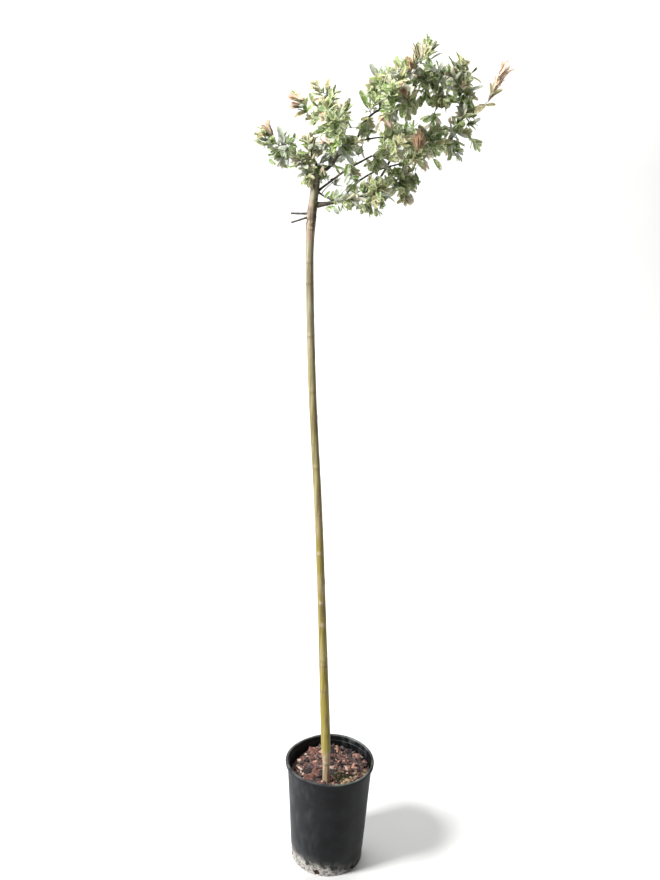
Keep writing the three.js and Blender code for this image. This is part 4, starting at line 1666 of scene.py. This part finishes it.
# %% Leaf finishes
def leaf_finish(name, base, shade, roughness, flecks):
    material, tree, shader, place = new_material(name, roughness)
    shader.inputs["Specular IOR Level"].default_value = 0.3
    shader.inputs["Subsurface Weight"].default_value = 1.0
    shader.inputs["Subsurface Radius"].default_value = (1.0, 1.0, 0.95)
    shader.inputs["Subsurface Scale"].default_value = 2.5 * MM
    between = mottle(tree, place, 14, 0.3, 0.7, detail=2)
    dapple = mottle(tree, place, 4.5, 0.51, 0.59, detail=3)
    colour = coat(tree, base, between, shade)
    colour = coat(tree, colour, dapple, "#d0c9b3", flecks)
    margin = times(tree, ramp_along(tree, mesh_value(tree, "to_margin"), 0.5, 0.95),
                   mottle(tree, place, 16, 0.42, 0.54, detail=2))
    colour = coat(tree, colour, margin, "#d2cab0", flecks * 1.5)
    cover(tree, shader, colour)
    return material


# For each tint: the upper side in two close shades, then the under side in two, and how strongly
# the cream flecks show.
LEAF_TINTS = {
    "deep": ("#44671e", "#577a2f", "#7f9466", "#8d9b78", 0.44),
    "mid": ("#688131", "#7c8e48", "#979f7b", "#a6aa8f", 0.44),
    "grey": ("#859080", "#959c8e", "#a6ab9d", "#b2b5aa", 0.22),
    "lime": ("#94955a", "#a2a06d", "#b0ac8f", "#b8b49f", 0.30),
    "olive": ("#6c632c", "#7e7544", "#968c6b", "#a2997c", 0.26),
    "cream": ("#b4ac8f", "#bdb6a0", "#b8b19f", "#c1baad", 0.20),
    "peach": ("#d0a98b", "#d8bba4", "#d3b8a6", "#dbc6b7", 0.12),
    "tan": ("#a98f77", "#b7a28b", "#b3a290", "#bdb0a1", 0.12),
    "orange": ("#b58660", "#c29c7b", "#bda187", "#c7af99", 0.10),
}

mass_nodes = [node for node in sorted(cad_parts) if node.startswith("mass_")]
for tint, (base, shade, under_base, under_shade, flecks) in LEAF_TINTS.items():
    piece = leaf_mesh(f"leaves_{tint}", [leaf for leaf in leaves if leaf.tint == tint])
    make_active(piece)
    bpy.ops.object.shade_smooth_by_angle(angle=math.radians(50))
    finishes = [
        leaf_finish(f"waxy_leaf_{tint}", base, shade, 0.48, flecks),
        leaf_finish(f"downy_leaf_{tint}", under_base, under_shade, 0.8, flecks * 0.6),
    ]
    stands_for = mass_nodes if tint == "deep" else ()
    finish_piece(piece, f"leaves_{tint}", finishes, stands_for)

# %% [markdown]
# ## The studio
#
# A pale floor runs up into a backdrop in one sweep. The key light, 0.8 m wide, stands high on the
# left and a little in front, and a second one brightens the backdrop. An even sky fills the
# shadows: it lights only dimly, so the far side of the stem stays dark, but is white where it is
# seen past the sweep.


# %% Floor and backdrop
def paper_sweep():
    clear_selection()
    bpy.ops.mesh.primitive_plane_add(size=26, location=(0, -9.2, 0))
    floor = bpy.context.object
    bpy.ops.object.transform_apply(location=True)
    pick_vertices(floor, lambda co: co.y > 0)
    bpy.ops.mesh.extrude_region_move(TRANSFORM_OT_translate={"value": (0, 0, 5)})
    pick_vertices(floor, lambda co: co.y > 0 and co.z < 1)
    bpy.ops.mesh.bevel(offset=1.6, segments=16, affect="EDGES")
    bpy.ops.object.mode_set(mode="OBJECT")
    bpy.ops.object.shade_smooth()
    floor.name = "studio_sweep"
    material, tree, shader, place = new_material("matt_white_paper", 0.9)
    soft = mottle(tree, place, 400, 0.2, 0.8)
    cover(tree, shader, coat(tree, "#c6c6c5", soft, "#cacac9"))
    floor.data.materials.append(material)


paper_sweep()


# %% Lights
def aim_light(name, place, target, size, watts):
    bpy.ops.object.light_add(type="AREA", location=place)
    light = bpy.context.object
    light.name = name
    light.data.size = size
    light.data.energy = watts
    away = (Vector(place) - Vector(target)).normalized()
    light.rotation_euler = away.to_track_quat("Z", "Y").to_euler()


SKY_LIGHT = 0.235
SKY_SEEN = 0.95
aim_light("key_light", (-2.45, -1.1, 3.2), (0, 0, 0.9), 0.8, 300)
aim_light("backdrop_light", (0, 1.6, 4.2), (0, 3.6, 1.2), 2.5, 230)
world = bpy.data.worlds.new("white_sky")
bpy.context.scene.world = world
world.use_nodes = True
sky = world.node_tree
sky.nodes["Background"].inputs["Strength"].default_value = SKY_LIGHT
seen_sky = add_node(sky, "ShaderNodeBackground", {"Color": (1, 1, 1, 1), "Strength": SKY_SEEN})
seen = add_node(sky, "ShaderNodeLightPath").outputs["Is Camera Ray"]
mixed_sky = add_node(sky, "ShaderNodeMixShader", {
    0: seen, 1: sky.nodes["Background"].outputs[0], 2: seen_sky.outputs[0],
})
sky.links.new(mixed_sky.outputs[0], sky.nodes["World Output"].inputs["Surface"])
sky.nodes["Background"].inputs["Color"].default_value = (1, 1, 1, 1)
bpy.context.scene.view_settings.view_transform = "Standard"
